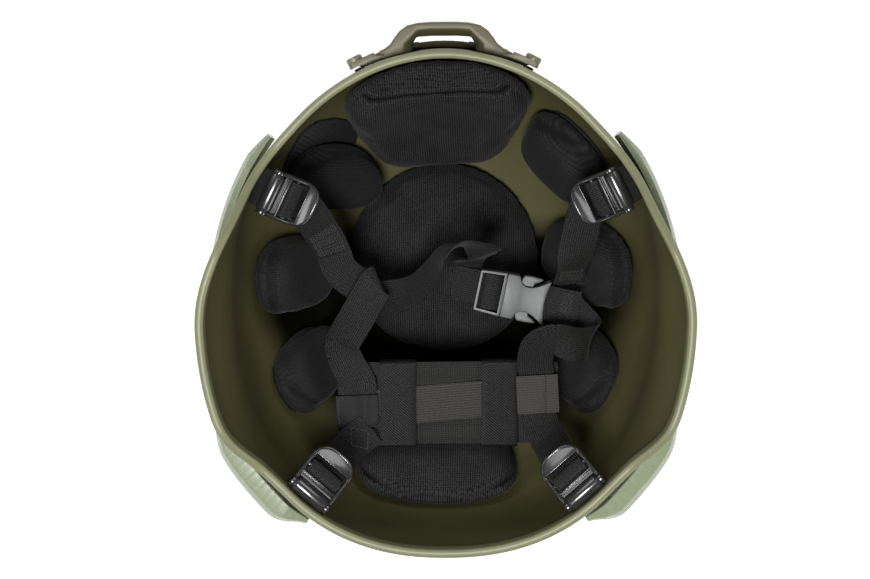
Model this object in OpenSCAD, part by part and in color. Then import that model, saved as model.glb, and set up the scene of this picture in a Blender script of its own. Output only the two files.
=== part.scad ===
// Combat helmet lying upside down on its crown, bowl open upwards, as an assembly.
// Millimetres. X runs across the ears, Y to the front, Z up out of the bowl.
// The origin is under the crown, at the middle of the helmet's outline in plan.

/* [Shell] */
// Width of the bowl at its widest ring, without the ear flare
bowl_w = 234; // [230:1:238]
// Reach of the bowl from its centre to the brow
bowl_front = 131; // [128:1:134]
// Reach of the bowl from its centre to the nape
bowl_rear = 133; // [130:1:136]
// Depth from the crown to the widest ring
bowl_depth = 110; // [107:1:113]
// Fullness of the crown, where 2 is an ellipse and more is boxier
crown_fullness = 2.15; // [2.1:0.05:2.25]
// Thickness of the shell's wall
wall_t = 3; // [2.6:0.2:3.4]
// Height of the rim over the brow, above the crown
brow_h = 127; // [125:1:130]
// Height of the rim at the ears, above the crown
ear_h = 172; // [168:1:176]
// Height of the rim at the nape, above the crown
nape_h = 158; // [156:1:162]
// How far the ears flare out beyond the bowl
ear_flare = 10; // [8:0.5:11]

/* [Rim edging] */
// Thickness of the edging's rubber
edging_t = 1.1; // [0.9:0.1:1.3]
// Depth of the edging's two legs down the wall
edging_leg = 7; // [5:0.5:9]

/* [Front bracket] */
// Width of the bracket across its wings
bracket_w = 100; // [98:1:102]
// Reach of the bracket's bar in front of the brow
bar_reach = 12; // [11:0.5:14]
// Thickness of the bar, front to back
bar_t = 7.2; // [7:0.1:7.4]
// Width of the opening behind the bar
bar_gap_w = 31; // [29:1:33]
// Height of the bar
bar_h = 12; // [10:1:14]
// Thickness of the bracket's plate on the shell
bracket_t = 3.4; // [3:0.2:4]
// Depth of the wing screws below the brow's rim
wing_screw_drop = 13; // [12:1:14]
// Distance between the two wing screws
wing_screw_span = 90; // [88:1:92]
// Depth of the middle screw below the brow's rim
mid_screw_drop = 53; // [50:1:55]

/* [Side rails] */
// Height of the rail's section
rail_h = 27; // [25:1:29]
// Thickness of the rail's section
rail_t = 7.5; // [7:0.5:9]
// Width of the groove along the rail
groove_w = 9.4; // [8:0.2:11]
// Depth of the groove along the rail
groove_depth = 3; // [2:0.5:4]
// Gap between the rail's rear end and the shell
rail_standoff = 4; // [3:0.5:5]
// Extra thickness of the rail's rear block
rail_block_t = 6.5; // [4:0.5:7.5]

/* [Strap anchors] */
// Angle of the front anchors ahead of the line across the ears
front_anchor_az = 31; // [30:1:33]
// Angle of the rear anchors behind the line across the ears
rear_anchor_az = 54; // [52:1:56]
// Depth of the front hinge pins below the rim
front_pin_drop = 12; // [10:1:14]
// Depth of the rear hinge pins below the rim
rear_pin_drop = 4; // [3:1:6]
// Distance of the front hinge pins from the wall
front_pin_inset = 9.5; // [8.5:0.5:10]
// Distance of the rear hinge pins from the wall
rear_pin_inset = 5.2; // [5.2:0.2:7]
// Width of the anchor tabs
tab_w = 20.4; // [19.6:0.2:20.6]
// Thickness of the anchor tabs
tab_t = 2.2; // [1.8:0.2:2.6]
// Radius of the anchor bolts' shanks
bolt_r = 2.5; // [2:0.1:2.8]

/* [Ladder locks] */
// Distance between the two side rails of a ladder lock
lock_inner_w = 21.2; // [21:0.2:22]
// Thickness of each side rail
lock_side_t = 1.9; // [1.6:0.1:2.4]
// Length from the hinge pin to the tip of the pull tab
lock_len = 28; // [27:0.5:29]
// Radius of the hinge pin
pin_r = 2; // [1.8:0.1:2.2]
// Running gap round the hinge pin
pin_gap = 0.05; // [0.03:0.01:0.08]

/* [Webbing] */
// Width of the chin strap webbing
web_w = 19.6; // [18:0.2:20]
// Thickness of the webbing
web_t = 1.4; // [1.2:0.1:1.6]

/* [Pads] */
// Thickness of the foam pads
pad_t = 21; // [19:1:23]
// Length of the oblong pads
oblong_l = 62; // [60:1:64]
// Width of the oblong pads
oblong_w = 47; // [46:1:48]
// Diameter of the round crown pad
crown_pad_d = 116; // [110:1:118]
// Width of the brow pad
brow_pad_w = 110; // [108:1:111]
// Length of the brow pad down the wall
brow_pad_l = 92; // [88:1:94]
// Width of the nape pad
nape_pad_w = 92; // [88:1:96]
// Length of the nape pad down the wall
nape_pad_l = 66; // [62:1:70]
// Thickness of the hook patches between the pads and the shell
patch_t = 1.2; // [1:0.1:1.5]
// Angle of the left front pad ahead of the line across the ears
front_pad_az_left = 42; // [41:0.5:42.5]
// Angle of the right front pad ahead of the line across the ears
front_pad_az_right = 45.5; // [44.5:0.5:46]
// Angle of the left side pad ahead of the line across the ears
side_pad_az_left = 1; // [0.6:0.2:1.6]
// Angle of the right side pad ahead of the line across the ears
side_pad_az_right = 5; // [4:0.5:6]
// Angle of the rear pads behind the line across the ears
rear_pad_az = 34.2; // [33.4:0.2:35]

/* [Nape band] */
// Width of the nape band from side to side
band_w = 122; // [118:1:124]
// Height of the nape band, front to back as it lies
band_l = 46; // [44:1:48]
// Thickness of the nape band's padding
band_t = 4; // [3:0.5:4.5]
// Height of the nape band above the crown
band_h = 78; // [77:1:80]
// Width of each elastic loop
elastic_w = 20; // [18:1:22]

/* [Buckle] */
// Length of the buckle's socket
socket_l = 26; // [25.5:0.5:28]
// Width of the buckle's socket
socket_w = 24.8; // [24.6:0.1:25.4]
// Thickness of the buckle's socket
socket_t = 8.6; // [8.4:0.2:9.4]
// Length of the plug's webbing frame
frame_l = 17.5; // [17.3:0.1:18]
// Height of the buckle above the crown
buckle_h = 80; // [79:1:82]

/* [Hidden] */
$fn = 32;

half_w = bowl_w / 2;
fit = 0.05;
soft_gap = 0.3;
seat_gap = 0.3;
// Gap that lets a flat part clear the curved wall
wall_gap = 0.6;
front_reach = bowl_front + bar_reach;
rear_reach = bowl_rear + edging_t + fit;
bowl_y = (rear_reach - front_reach) / 2;

module in_bowl() {
  translate([0, bowl_y, 0]) children();
}

// Azimuths run counter-clockwise from the right ear, heights from the crown

function soft(t) = let (c = min(1, max(0, t))) c * c * (3 - 2 * c);
function from_ear(az) = asin(sin(az));
function plan_b(az) = sin(az) >= 0 ? bowl_front : bowl_rear;
function plan_m(az) = sin(az) >= 0 ? 1.95 : 2.25;
function plan_r(az) = let (m = plan_m(az))
  pow(pow(abs(cos(az)) / half_w, m) + pow(abs(sin(az)) / plan_b(az), m), -1 / m);

// Direction of the wall's outward normal in plan
function wall_az(az) = let (m = plan_m(az) - 1, b = plan_b(az), r = plan_r(az))
  atan2(sign(sin(az)) * pow(r * abs(sin(az)) / b, m) / b,
        sign(cos(az)) * pow(r * abs(cos(az)) / half_w, m) / half_w);

// Share of the ear flare and height of the rim round the helmet
function ear_share(az) = let (e = from_ear(az)) e > -10 ? soft((27 - e) / 32) : soft((e + 50) / 25);
function rim_h(az) = let (e = from_ear(az))
  e > -10 ? brow_h + (ear_h - brow_h) * soft((43 - e) / 31)
          : nape_h + (ear_h - nape_h) * soft((e + 43) / 15);

// Surface of the wall, moved inwards by d
function fullness(z, d) = z >= bowl_depth ? 1
  : pow(1 - pow((bowl_depth - z) / (bowl_depth - d), crown_fullness), 1 / crown_fullness);
function flare(az, z) = ear_flare * ear_share(az) * soft((z - bowl_depth) / (ear_h - bowl_depth));
function wall_r(az, z, d) = (plan_r(az) - d) * fullness(z, d) + flare(az, z);
function wall_pt(az, z, d) = let (r = wall_r(az, z, d)) [r * cos(az), r * sin(az), z];

// The same surface along the ray from the bowl's centre through a point
function on_wall(p, d) = let (
    az = atan2(p[1], p[0]),
    r = norm([p[0], p[1]]) / (plan_r(az) - d + flare(az, p[2])),
    drop = bowl_depth - p[2],
    s = drop > 0 ? pow(pow(r, crown_fullness) + pow(drop / (bowl_depth - d), crown_fullness),
                       1 / crown_fullness) : r
  ) [p[0] / s, p[1] / s, bowl_depth - drop / s];

// Closed bodies from rings of points

function joined(rows) = [for (row = rows) each row];
function sides(m, n) = [for (i = [0:m - 2], j = [0:n - 1]) let (k = (j + 1) % n)
  each [[i * n + j, (i + 1) * n + j, i * n + k], [i * n + k, (i + 1) * n + j, (i + 1) * n + k]]];

module loft(rows) {
  m = len(rows);
  n = len(rows[0]);
  polyhedron(joined(rows), concat(sides(m, n),
    [[for (j = [0:n - 1]) j]], [[for (j = [n - 1:-1:0]) (m - 1) * n + j]]));
}

// A curved plate, whose rows run out along one face and back along the other
module plate_loft(rows) {
  m = len(rows);
  n = len(rows[0]);
  polyhedron(joined(rows), concat(sides(m, n), [for (j = [0:n / 2 - 2])
    each [[j, j + 1, n - 2 - j], [j, n - 2 - j, n - 1 - j],
          [(m - 1) * n + j, (m - 1) * n + n - 2 - j, (m - 1) * n + j + 1],
          [(m - 1) * n + j, (m - 1) * n + n - 1 - j, (m - 1) * n + n - 2 - j]]]));
}

module pointed_loft(first, rows, last) {
  m = len(rows);
  n = len(rows[0]);
  polyhedron(concat(joined(rows), [first, last]), concat(sides(m, n),
    [for (j = [0:n - 1]) [m * n, j, (j + 1) % n]],
    [for (j = [0:n - 1]) [m * n + 1, (m - 1) * n + (j + 1) % n, (m - 1) * n + j]]));
}

module ring_loft(rows) {
  m = len(rows);
  n = len(rows[0]);
  closing = [for (j = [0:n - 1]) let (k = (j + 1) % n)
    each [[(m - 1) * n + j, j, (m - 1) * n + k], [(m - 1) * n + k, j, k]]];
  polyhedron(joined(rows), concat(sides(m, n), closing));
}

// Shell and its edging

plan_azimuths = let (quarter = [for (a = [-90:6:-54]) a], kink = [for (a = [-50:4:-22]) a],
    front = [for (a = [-17:5.6:83.8]) a], right = concat(quarter, kink, front))
  concat(right, [90], [for (i = [len(right) - 1:-1:1]) 180 - right[i]]);
crown_steps = 13;
ear_steps = 6;

function wall_row(i, d) = [for (az = plan_azimuths)
  i <= crown_steps
    ? let (t = 90 * i / crown_steps, q = 2 / crown_fullness)
      wall_pt(az, bowl_depth - (bowl_depth - d) * pow(cos(min(t, 89.999)), q), d)
    : i == crown_steps + ear_steps ? wall_pt(az, rim_h(az), d)
    : wall_pt(az, bowl_depth + (rim_h(az) - edging_leg - bowl_depth)
      * (i - crown_steps) / (ear_steps - 1), d)];

// Slope of the wall below the widest ring, and a child's place with Z out along the wall's normal
function wall_slope(az, h) = atan(wall_r(az, h + 0.5, 0) - wall_r(az, h - 0.5, 0));
module at_bolt(az, h) {
  translate(wall_pt(az, h, 0)) rotate([0, 90 + wall_slope(az, h), wall_az(az)]) children();
}
module bolt_line(az, h, r) {
  at_bolt(az, h) translate([0, 0, -14]) cylinder(h = 34, r = r);
}

front_pin_h = rim_h(front_anchor_az) - front_pin_drop;
rear_pin_h = rim_h(-rear_anchor_az) - rear_pin_drop;
ANCHORS = [
  [180 - front_anchor_az, front_pin_h, front_pin_inset],
  [front_anchor_az, front_pin_h, front_pin_inset],
  [180 + rear_anchor_az, rear_pin_h, rear_pin_inset],
  [-rear_anchor_az, rear_pin_h, rear_pin_inset]
];
front_tab_drop = 25;
rear_tab_drop = 23;
function tab_drop(a) = a[1] == front_pin_h ? front_tab_drop : rear_tab_drop;
function bolt_h(a) = a[1] - tab_drop(a);
post_r = bolt_r + 0.8;

wing_screw_h = brow_h - wing_screw_drop;
bar_z = brow_h - 25;
mid_screw_h = brow_h - mid_screw_drop;
bracket_az = asin(wing_screw_span / 2 / plan_r(71));
WING_SCREWS = [[90 - bracket_az, wing_screw_h], [90 + bracket_az, wing_screw_h], [90, mid_screw_h]];
screw_r = 1.9;
barrel_r = 2.9;

module shell() in_bowl() color([0.36, 0.37, 0.24]) {
  rows = concat([for (i = [1:crown_steps + ear_steps]) wall_row(i, 0)],
                [for (i = [crown_steps + ear_steps:-1:1]) wall_row(i, wall_t)]);
  difference() {
    pointed_loft([0, 0, 0], rows, [0, 0, wall_t]);
    for (a = ANCHORS) bolt_line(a[0], bolt_h(a), post_r + fit);
    for (s = WING_SCREWS) bolt_line(s[0], s[1], barrel_r + fit);
  }
}

module rim_edging() in_bowl() color([0.45, 0.46, 0.31]) {
  section = [
    [wall_t + fit + edging_t, -edging_leg], [wall_t + fit + edging_t, 0.4], [wall_t + 0.4, 1.4],
    [wall_t / 2, 1.8], [-0.4, 1.4], [-fit - edging_t, 0.4], [-fit - edging_t, -edging_leg],
    [-fit, -edging_leg], [-fit, fit], [wall_t + fit, fit], [wall_t + fit, -edging_leg]
  ];
  ring_loft([for (az = plan_azimuths) [for (s = section)
    let (r = wall_r(az, rim_h(az) + min(0, s[1]), s[0])) [r * cos(az), r * sin(az), rim_h(az) + s[1]]]]);
}

// Front bracket

// Depth below the brow's rim and share of the half width, from the crown side up to the rim side
BRACKET = [[69, 0.29], [65, 0.41], [57, 0.47], [47, 0.45], [36, 0.49], [27, 0.6], [20, 0.92], [16, 1],
           [10.5, 1], [8.4, 0.97]];
plate_steps = 10;
function bracket_z(i) = brow_h - BRACKET[i][0];
function plate_az(u, z) = 90 - asin(u / wall_r(90, z, 0));
function plate_row(z, half, d_in, d_out) = concat(
  [for (j = [0:plate_steps]) wall_pt(plate_az(half * (1 - 2 * j / plate_steps), z), z, -d_out)],
  [for (j = [0:plate_steps]) wall_pt(plate_az(half * (2 * j / plate_steps - 1), z), z, -d_in)]);

// Depth of the plate's middle layer, u to the side of the centre line
function plate_y(u, z) = wall_pt(plate_az(u, z), z, -bracket_t / 2)[1];

module bar_outline() {
  reach = bowl_front + bar_reach;
  half = bar_gap_w / 2 + 12.5;
  corner = 15;
  difference() {
    polygon(concat([[half + 12, reach - 22], [half + 9, reach - 17.5], [half + 4, reach - 15]],
      [for (t = [0:15:90]) [half - corner * (1 - cos(t)), reach - corner * 0.85 * (1 - sin(t))]],
      [for (t = [90:-15:0]) [corner * (1 - cos(t)) - half, reach - corner * 0.85 * (1 - sin(t))]],
      [[-half - 4, reach - 15], [-half - 9, reach - 17.5], [-half - 12, reach - 22]]));
    translate([-bar_gap_w / 2, reach - 30]) square([bar_gap_w, 30 - bar_t - 2]);
    translate([2 - bar_gap_w / 2, reach - 30]) square([bar_gap_w - 4, 30 - bar_t]);
    polygon([for (az = [40:4:140]) (plan_r(az) + seat_gap) * [cos(az), sin(az)]]);
  }
}

module front_bracket() in_bowl() color([0.33, 0.30, 0.21]) {
  post_x = bar_gap_w / 2 + 1.5;
  difference() {
    union() {
      plate_loft([for (i = [0:len(BRACKET) - 1])
        plate_row(bracket_z(i), bracket_w / 2 * BRACKET[i][1], seat_gap, bracket_t)]);
      translate([0, 0, bar_z]) linear_extrude(height = bar_h) bar_outline();
      for (side = [-1, 1])
        translate([side * post_x + (side < 0 ? -5 : 0), 0, 0]) rotate([90, 0, 90]) linear_extrude(height = 5)
          polygon(concat(
            [for (d = [0, 12, 26, 40]) [plate_y(post_x, bar_z + 2 - d) + 9 - d / 6, bar_z + 2 - d]],
            [for (d = [38, 28, 18, 8, 0]) [plate_y(post_x, bar_z + 2 - d), bar_z + 2 - d]]));
    }
    for (s = WING_SCREWS) bolt_line(s[0], s[1], screw_r + fit);
    translate([2 - bar_gap_w / 2, 0, bar_z - 13]) cube([bar_gap_w - 4, bowl_front + bar_reach - bar_t, 40]);
  }
}

module screw(head_r, head_h, shank_r, shank_l) {
  difference() {
    union() {
      cylinder(h = head_h, r = head_r);
      translate([0, 0, -shank_l]) cylinder(h = shank_l + 0.1, r = shank_r);
    }
    translate([0, 0, head_h - 1.4]) cylinder(h = 2, r = head_r * 0.45, $fn = 6);
  }
}

module bracket_screws() in_bowl() color([0.30, 0.27, 0.20])
  for (s = WING_SCREWS) at_bolt(s[0], s[1])
    translate([0, 0, bracket_t + 0.6]) screw(4.4, 2.2, screw_r, bracket_t + 0.6 + wall_t - 0.4);

module post_nut(flange_r, flange_h, r, length, bore) {
  difference() {
    union() {
      cylinder(h = flange_h, r = flange_r);
      translate([0, 0, flange_h - 0.1]) cylinder(h = length, r = r);
    }
    translate([0, 0, -1]) cylinder(h = flange_h + length + 2, r = bore);
  }
}

module bracket_nuts() in_bowl() color([0.14, 0.14, 0.13])
  for (s = WING_SCREWS) at_bolt(s[0], s[1])
    translate([0, 0, -wall_t - 1 - wall_gap]) post_nut(4.6, 1, barrel_r, wall_t, screw_r + fit);

// Side rails, each held by two anchor bolts

rail_front_az = 42;
rail_rear_az = -58;
rail_steps = 26;
function rail_mid_h(e) = let (a = front_anchor_az, b = -rear_anchor_az, ha = front_pin_h - front_tab_drop,
    hb = rear_pin_h - rear_tab_drop) hb + (ha - hb) * (e - b) / (a - b);
function rail_lift(e) = seat_gap + rail_standoff * soft((-e - 12) / 26);
function rail_end(e) = min(1, 0.45 + (rail_front_az - e) / 16, 0.55 + (e - rail_rear_az) / 12);

function rail_thick(e) = rail_t + rail_block_t * soft((-e - 22) / 14) * soft((e + 58) / 8);

// Point of the rail's section, x out from the wall and z up from the section's middle
function rail_pt(e, x, z) = let (h = rail_mid_h(e) + z, r = wall_r(e, h, 0) + rail_lift(e) + x)
  [r * cos(e), r * sin(e), h];
function rail_row(e) = let (k = rail_end(e), t = rail_thick(e) * min(1, k + 0.15), h = rail_h / 2 * k,
    g = groove_w / 2 * k, floor = t - groove_depth * soft((k - 0.6) / 0.3))
  [for (s = [[0, -h], [0, -h / 2], [0, 0], [0, h / 2], [0, h], [t * 0.6, h], [t, h * 0.7], [t, g],
             [floor, g], [floor, -g], [t, -g], [t, -h * 0.7], [t * 0.6, -h]]) rail_pt(e, s[0], s[1])];

// The bolt heads sit in round recesses, this far out from the wall
bolt_head_r = 4.2;
function bolt_face(a) = rail_lift(from_ear(a[0])) + 4;

module rail_side() {
  difference() {
    pointed_loft(rail_pt(rail_rear_az, 1.5, 0),
      [for (i = [0:rail_steps]) rail_row(rail_rear_az + (rail_front_az - rail_rear_az) * i / rail_steps)],
      rail_pt(rail_front_az, 1.5, 0));
    for (a = [ANCHORS[1], ANCHORS[3]]) {
      bolt_line(a[0], bolt_h(a), bolt_r + 0.2);
      at_bolt(a[0], bolt_h(a)) translate([0, 0, bolt_face(a) - fit]) cylinder(h = 20, r = bolt_head_r + 0.3);
    }
  }
}

module rail_right() in_bowl() color([0.52, 0.55, 0.43]) rail_side();

module rail_left() in_bowl() color([0.52, 0.55, 0.43]) mirror([1, 0, 0]) rail_side();

module rail_spacers() in_bowl() color([0.12, 0.12, 0.11])
  for (a = [ANCHORS[2], ANCHORS[3]]) at_bolt(a[0], bolt_h(a))
    translate([0, 0, seat_gap]) difference() {
      cylinder(h = rail_standoff - 0.6, r = 6);
      translate([0, 0, -1]) cylinder(h = rail_standoff + 2, r = bolt_r + 0.2);
    }

module anchor_bolts() in_bowl() color([0.12, 0.12, 0.12])
  for (a = ANCHORS) at_bolt(a[0], bolt_h(a))
    translate([0, 0, bolt_face(a)]) screw(bolt_head_r, 2.6, bolt_r, bolt_face(a) + wall_t + 2.6);

tab_standoff = 0.8;
tab_disc_r = 9.2;
// Gap between a tab and the wall, wider where the wall curves in below the pin
function tab_gap(a) = max(tab_standoff, fit + wall_r(a[0], a[1], 0) - wall_r(a[0], bolt_h(a) - tab_disc_r, 0));

module anchor_nuts() in_bowl() color([0.14, 0.14, 0.14])
  for (a = ANCHORS) at_bolt(a[0], bolt_h(a))
    translate([0, 0, -wall_t - tab_gap(a) - tab_t - 2.4])
      post_nut(6, 1.6, post_r, tab_gap(a) + tab_t + 2.6, bolt_r + fit);

// Places a child with X out through the wall, Y along it and Z up, at an anchor's hinge pin
module at_anchor(a) {
  translate(wall_pt(a[0], a[1], 0)) rotate([0, 0, wall_az(a[0])])
    translate([-wall_t - a[2], 0, 0]) children();
}

knuckle_r = 3.4;

// A rolled eye round the hinge pin, and a plate that hangs from it along the wall
module anchor_tab(a) {
  drop = tab_drop(a);
  face = a[2] - tab_gap(a) - tab_t;
  in_bowl() color([0.08, 0.08, 0.08]) difference() {
    at_anchor(a) {
      translate([0, tab_w / 2, 0]) rotate([90, 0, 0]) cylinder(h = tab_w, r = knuckle_r);
      translate([0, tab_w / 2, 0]) rotate([90, 0, 0]) linear_extrude(height = tab_w)
        polygon([[-1.8, -2.5], [2.1, -2.5], [face + tab_t, -4.8], [face + tab_t, -drop], [face, -drop],
                 [face, -7], [-1.8, -4.9]]);
      translate([face + 0.1, 0, -drop]) rotate([0, 90, 0]) cylinder(h = tab_t - 0.2, r = tab_disc_r);
    }
    at_anchor(a) translate([0, tab_w, 0]) rotate([90, 0, 0]) cylinder(h = 2 * tab_w, r = pin_r + pin_gap);
    bolt_line(a[0], bolt_h(a), post_r + fit);
  }
}

module anchor_tab_front_left() anchor_tab(ANCHORS[0]);
module anchor_tab_front_right() anchor_tab(ANCHORS[1]);
module anchor_tab_rear_left() anchor_tab(ANCHORS[2]);
module anchor_tab_rear_right() anchor_tab(ANCHORS[3]);

// Ladder locks, X along the hinge pin, Y to the pull tab, Z out of the bowl

front_lock_tilt = 35;
rear_lock_tilt = 33;
function lock_tilt(a) = a[1] == front_pin_h ? front_lock_tilt : rear_lock_tilt;
bar_1 = 9.5;
bar_2 = 15.5;
tab_start = lock_len - 7.4;

// Side view of a side rail as an S-shaped strip, from the pin to the tip
function s_line(y) = 1.6 * sin(180 * y / lock_len) - 0.6 + 3.2 * soft((y - tab_start + 4) / 10);
module side_profile() {
  circle(r = knuckle_r - 0.2);
  polygon(concat([for (y = [0:3:tab_start + 4]) [y, s_line(y) + 1.5]],
                 [for (y = [tab_start + 4:-3:0]) [y, s_line(y) - 1.5]]));
}

module ladder_lock(a) {
  in_bowl() color([0.10, 0.10, 0.11]) at_anchor(a) rotate([0, -lock_tilt(a), 0]) rotate([0, 0, 90]) {
    full = lock_inner_w + 2 * lock_side_t;
    for (x = [-full / 2, full / 2 - lock_side_t])
      translate([x, 0, 0]) rotate([90, 0, 90]) linear_extrude(height = lock_side_t) side_profile();
    translate([-full / 2 + 0.5, 0, 0]) rotate([0, 90, 0]) cylinder(h = full - 1, r = pin_r);
    translate([-full / 2 + 0.5, bar_1 - 1, s_line(bar_1) - 0.6]) cube([full - 1, 2, 2.2]);
    translate([-full / 2 + 0.5, bar_2, s_line(bar_2) - 1]) rotate([0, 90, 0])
      cylinder(h = full - 1, r = 1.4);
    translate([0, 0, s_line(lock_len) - 1.3]) linear_extrude(height = 2.6) intersection() {
      translate([-full / 2, tab_start]) square([full, lock_len - tab_start]);
      translate([0, tab_start - 9]) circle(r = lock_len - tab_start + 9, $fn = 64);
    }
  }
}

module ladder_lock_front_left() ladder_lock(ANCHORS[0]);
module ladder_lock_front_right() ladder_lock(ANCHORS[1]);
module ladder_lock_rear_left() ladder_lock(ANCHORS[2]);
module ladder_lock_rear_right() ladder_lock(ANCHORS[3]);

// A point given in a ladder lock's own axes, in the bowl's axes
function lock_pt(a, p) = let (n = wall_az(a[0]), t = lock_tilt(a), out = [cos(n), sin(n), 0],
    along = [-sin(n), cos(n), 0], up = [0, 0, 1], pin = wall_pt(a[0], a[1], 0) - (wall_t + a[2]) * out)
  pin + p[0] * along + p[1] * (-cos(t) * out - sin(t) * up) + p[2] * (-sin(t) * out + cos(t) * up);
function lock_along(a) = let (n = wall_az(a[0])) [-sin(n), cos(n), 0];

// Foam pads, seated on hook patches

pad_seat = wall_t + patch_t + 2 * wall_gap;
pad_mid = pad_seat + pad_t / 2;

// Where each pad is stuck: azimuth, height of its middle and turn about its middle
CROWN_AT = [96, 0, 0];
BROW_AT = [92.2, 54, 0];
NAPE_AT = [-93, 61, 0];
FRONT_L_AT = [180 - front_pad_az_left, 47, 23];
FRONT_R_AT = [front_pad_az_right, 60, -80];
SIDE_L_AT = [180 - side_pad_az_left, 54, 4];
SIDE_R_AT = [side_pad_az_right, 49, -22];
REAR_L_AT = [180 + rear_pad_az, 54, 4];
REAR_R_AT = [-rear_pad_az, 52, -4];

function unit(v) = v / norm(v);
function up_wall(az, h) = unit(wall_pt(az, h + 1, 0) - wall_pt(az, h - 1, 0));

// Point of a pad's outline plane, u to the right and v up as seen from inside the bowl
function pad_plane(at, u, v) = let (
    c = at[1] == 0 ? [-1, 7, pad_mid] : wall_pt(at[0], at[1], pad_mid),
    n = wall_az(at[0]),
    side = at[1] == 0 ? [1, 0, 0] : [sin(n), -cos(n), 0],
    up = at[1] == 0 ? [0, 1, 0] : up_wall(at[0], at[1]),
    s = u * cos(at[2]) - v * sin(at[2]),
    w = u * sin(at[2]) + v * cos(at[2])
  ) c + s * side + w * up;

// Rounded outline, taper widens the rim end and draw pulls the sides in between the corners
function pad_edge(t, w, l, corner, taper, draw) = let (
    q = 2 / corner, c = cos(t), s = sin(t), pull = 1 - draw * pow(cos(2 * t), 2),
    v = sign(s) * pow(abs(s), q))
  pull * [w / 2 * sign(c) * pow(abs(c), q) * (1 + taper * v), l / 2 * v];

pad_sides = 28;
// Share of the outline and of the thickness at each ring, from the seat to the crowned face
PAD_RINGS = [[0.55, 0], [0.93, 0], [1.02, 0.2], [1.01, 0.46], [1.03, 0.62], [0.97, 0.84], [0.82, 0.97],
             [0.48, 1.05]];

module pad(at, w, l, corner, taper, draw) {
  rows = [for (k = PAD_RINGS) [for (j = [0:pad_sides - 1])
    let (e = k[0] * pad_edge(360 * j / pad_sides, w, l, corner, taper, draw))
      on_wall(pad_plane(at, e[0], e[1]), pad_seat + k[1] * pad_t)]];
  in_bowl() color([0.09, 0.09, 0.09]) pointed_loft(
    on_wall(pad_plane(at, 0, 0), pad_seat), rows, on_wall(pad_plane(at, 0, 0), pad_seat + 1.08 * pad_t));
}

module crown_pad() pad(CROWN_AT, crown_pad_d, crown_pad_d, 2, 0, 0);
module brow_pad() pad(BROW_AT, brow_pad_w, brow_pad_l, 3, 0.17, 0.03);
module nape_pad() pad(NAPE_AT, nape_pad_w, nape_pad_l, 3, 0.1, 0.03);
module front_pad_left() pad(FRONT_L_AT, oblong_w - 11, oblong_l + 5, 2.2, 0, 0);
module front_pad_right() pad(FRONT_R_AT, oblong_w - 6, oblong_l - 5, 2.5, 0, 0.02);
module side_pad_left() pad(SIDE_L_AT, oblong_w - 3, oblong_l - 6, 2.5, 0, 0.02);
module side_pad_right() pad(SIDE_R_AT, oblong_w, oblong_l + 4, 2.5, 0, 0.02);
module rear_pad_left() pad(REAR_L_AT, oblong_w - 4, oblong_l - 9, 2.5, 0, 0.02);
module rear_pad_right() pad(REAR_R_AT, oblong_w - 1, oblong_l - 2, 2.5, 0, 0.02);

// Hook patches, each with its place, width and length
patch_w = 32;
patch_l = 42;
PATCHES = [[CROWN_AT, 60, 60], [[91, 48, 0], 70, 30], [NAPE_AT, 60, 34], [[135, 56, 24], 40, 48],
           [FRONT_R_AT, patch_w, patch_l], [SIDE_L_AT, patch_w, patch_l], [SIDE_R_AT, patch_w, patch_l],
           [REAR_L_AT, patch_w, patch_l], [REAR_R_AT, patch_w, patch_l]];
patch_sides = 16;

module hook_patches() in_bowl() color([0.05, 0.05, 0.05])
  for (p = PATCHES) {
    inner = wall_t + wall_gap;
    rows = [for (k = [[0.5, 0], [1, 0], [1, 1], [0.5, 1]]) [for (j = [0:patch_sides - 1])
      let (e = k[0] * pad_edge(360 * j / patch_sides, p[1], p[2], 3, 0, 0))
        on_wall(pad_plane(p[0], e[0], e[1]), inner + k[1] * patch_t)]];
    pointed_loft(on_wall(pad_plane(p[0], 0, 0), inner), rows,
                 on_wall(pad_plane(p[0], 0, 0), inner + patch_t));
  }

// Webbing straps, each a ribbon along stations of a point and the direction of its width

function blend_at(list, i, t) = let (n = len(list) - 1, a = list[max(0, i - 1)], b = list[i],
    c = list[min(n, i + 1)], d = list[min(n, i + 2)])
  0.5 * ((2 * b) + (c - a) * t + (2 * a - 5 * b + 4 * c - d) * t * t + (3 * b - a - 3 * c + d) * t * t * t);
ribbon_steps = 3;
function smooth(list) = concat([for (i = [0:len(list) - 2], k = [0:ribbon_steps - 1])
  blend_at(list, i, k / ribbon_steps)], [list[len(list) - 1]]);

module ribbon(stations, w = web_w, t = web_t) {
  pts = smooth([for (s = stations) s[0]]);
  dirs = smooth([for (s = stations) s[1]]);
  n = len(pts) - 1;
  rows = [for (i = [0:n]) let (
      run = unit(pts[min(n, i + 1)] - pts[max(0, i - 1)]),
      flat_dir = dirs[i] - (dirs[i] * run) * run,
      across = unit(flat_dir) * w / 2,
      face = cross(run, unit(flat_dir)) * t / 2)
    [pts[i] - across - face, pts[i] + across - face, pts[i] + across + face, pts[i] - across + face]];
  in_bowl() color([0.07, 0.07, 0.07]) loft(rows);
}

// The webbing's turn over a ladder lock's middle bar
function lock_loop(a) = let (w = -lock_along(a)) [
  [lock_pt(a, [0, 12.2, -3.4]), w], [lock_pt(a, [0, 12.3, 1]), w], [lock_pt(a, [0, 13.4, 2.9]), w],
  [lock_pt(a, [0, 17.2, 2.9]), w], [lock_pt(a, [0, 18.7, 1]), w], [lock_pt(a, [0, 19.6, -2.8]), w],
  [lock_pt(a, [0, 24.5, -5.2]), w]];

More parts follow.
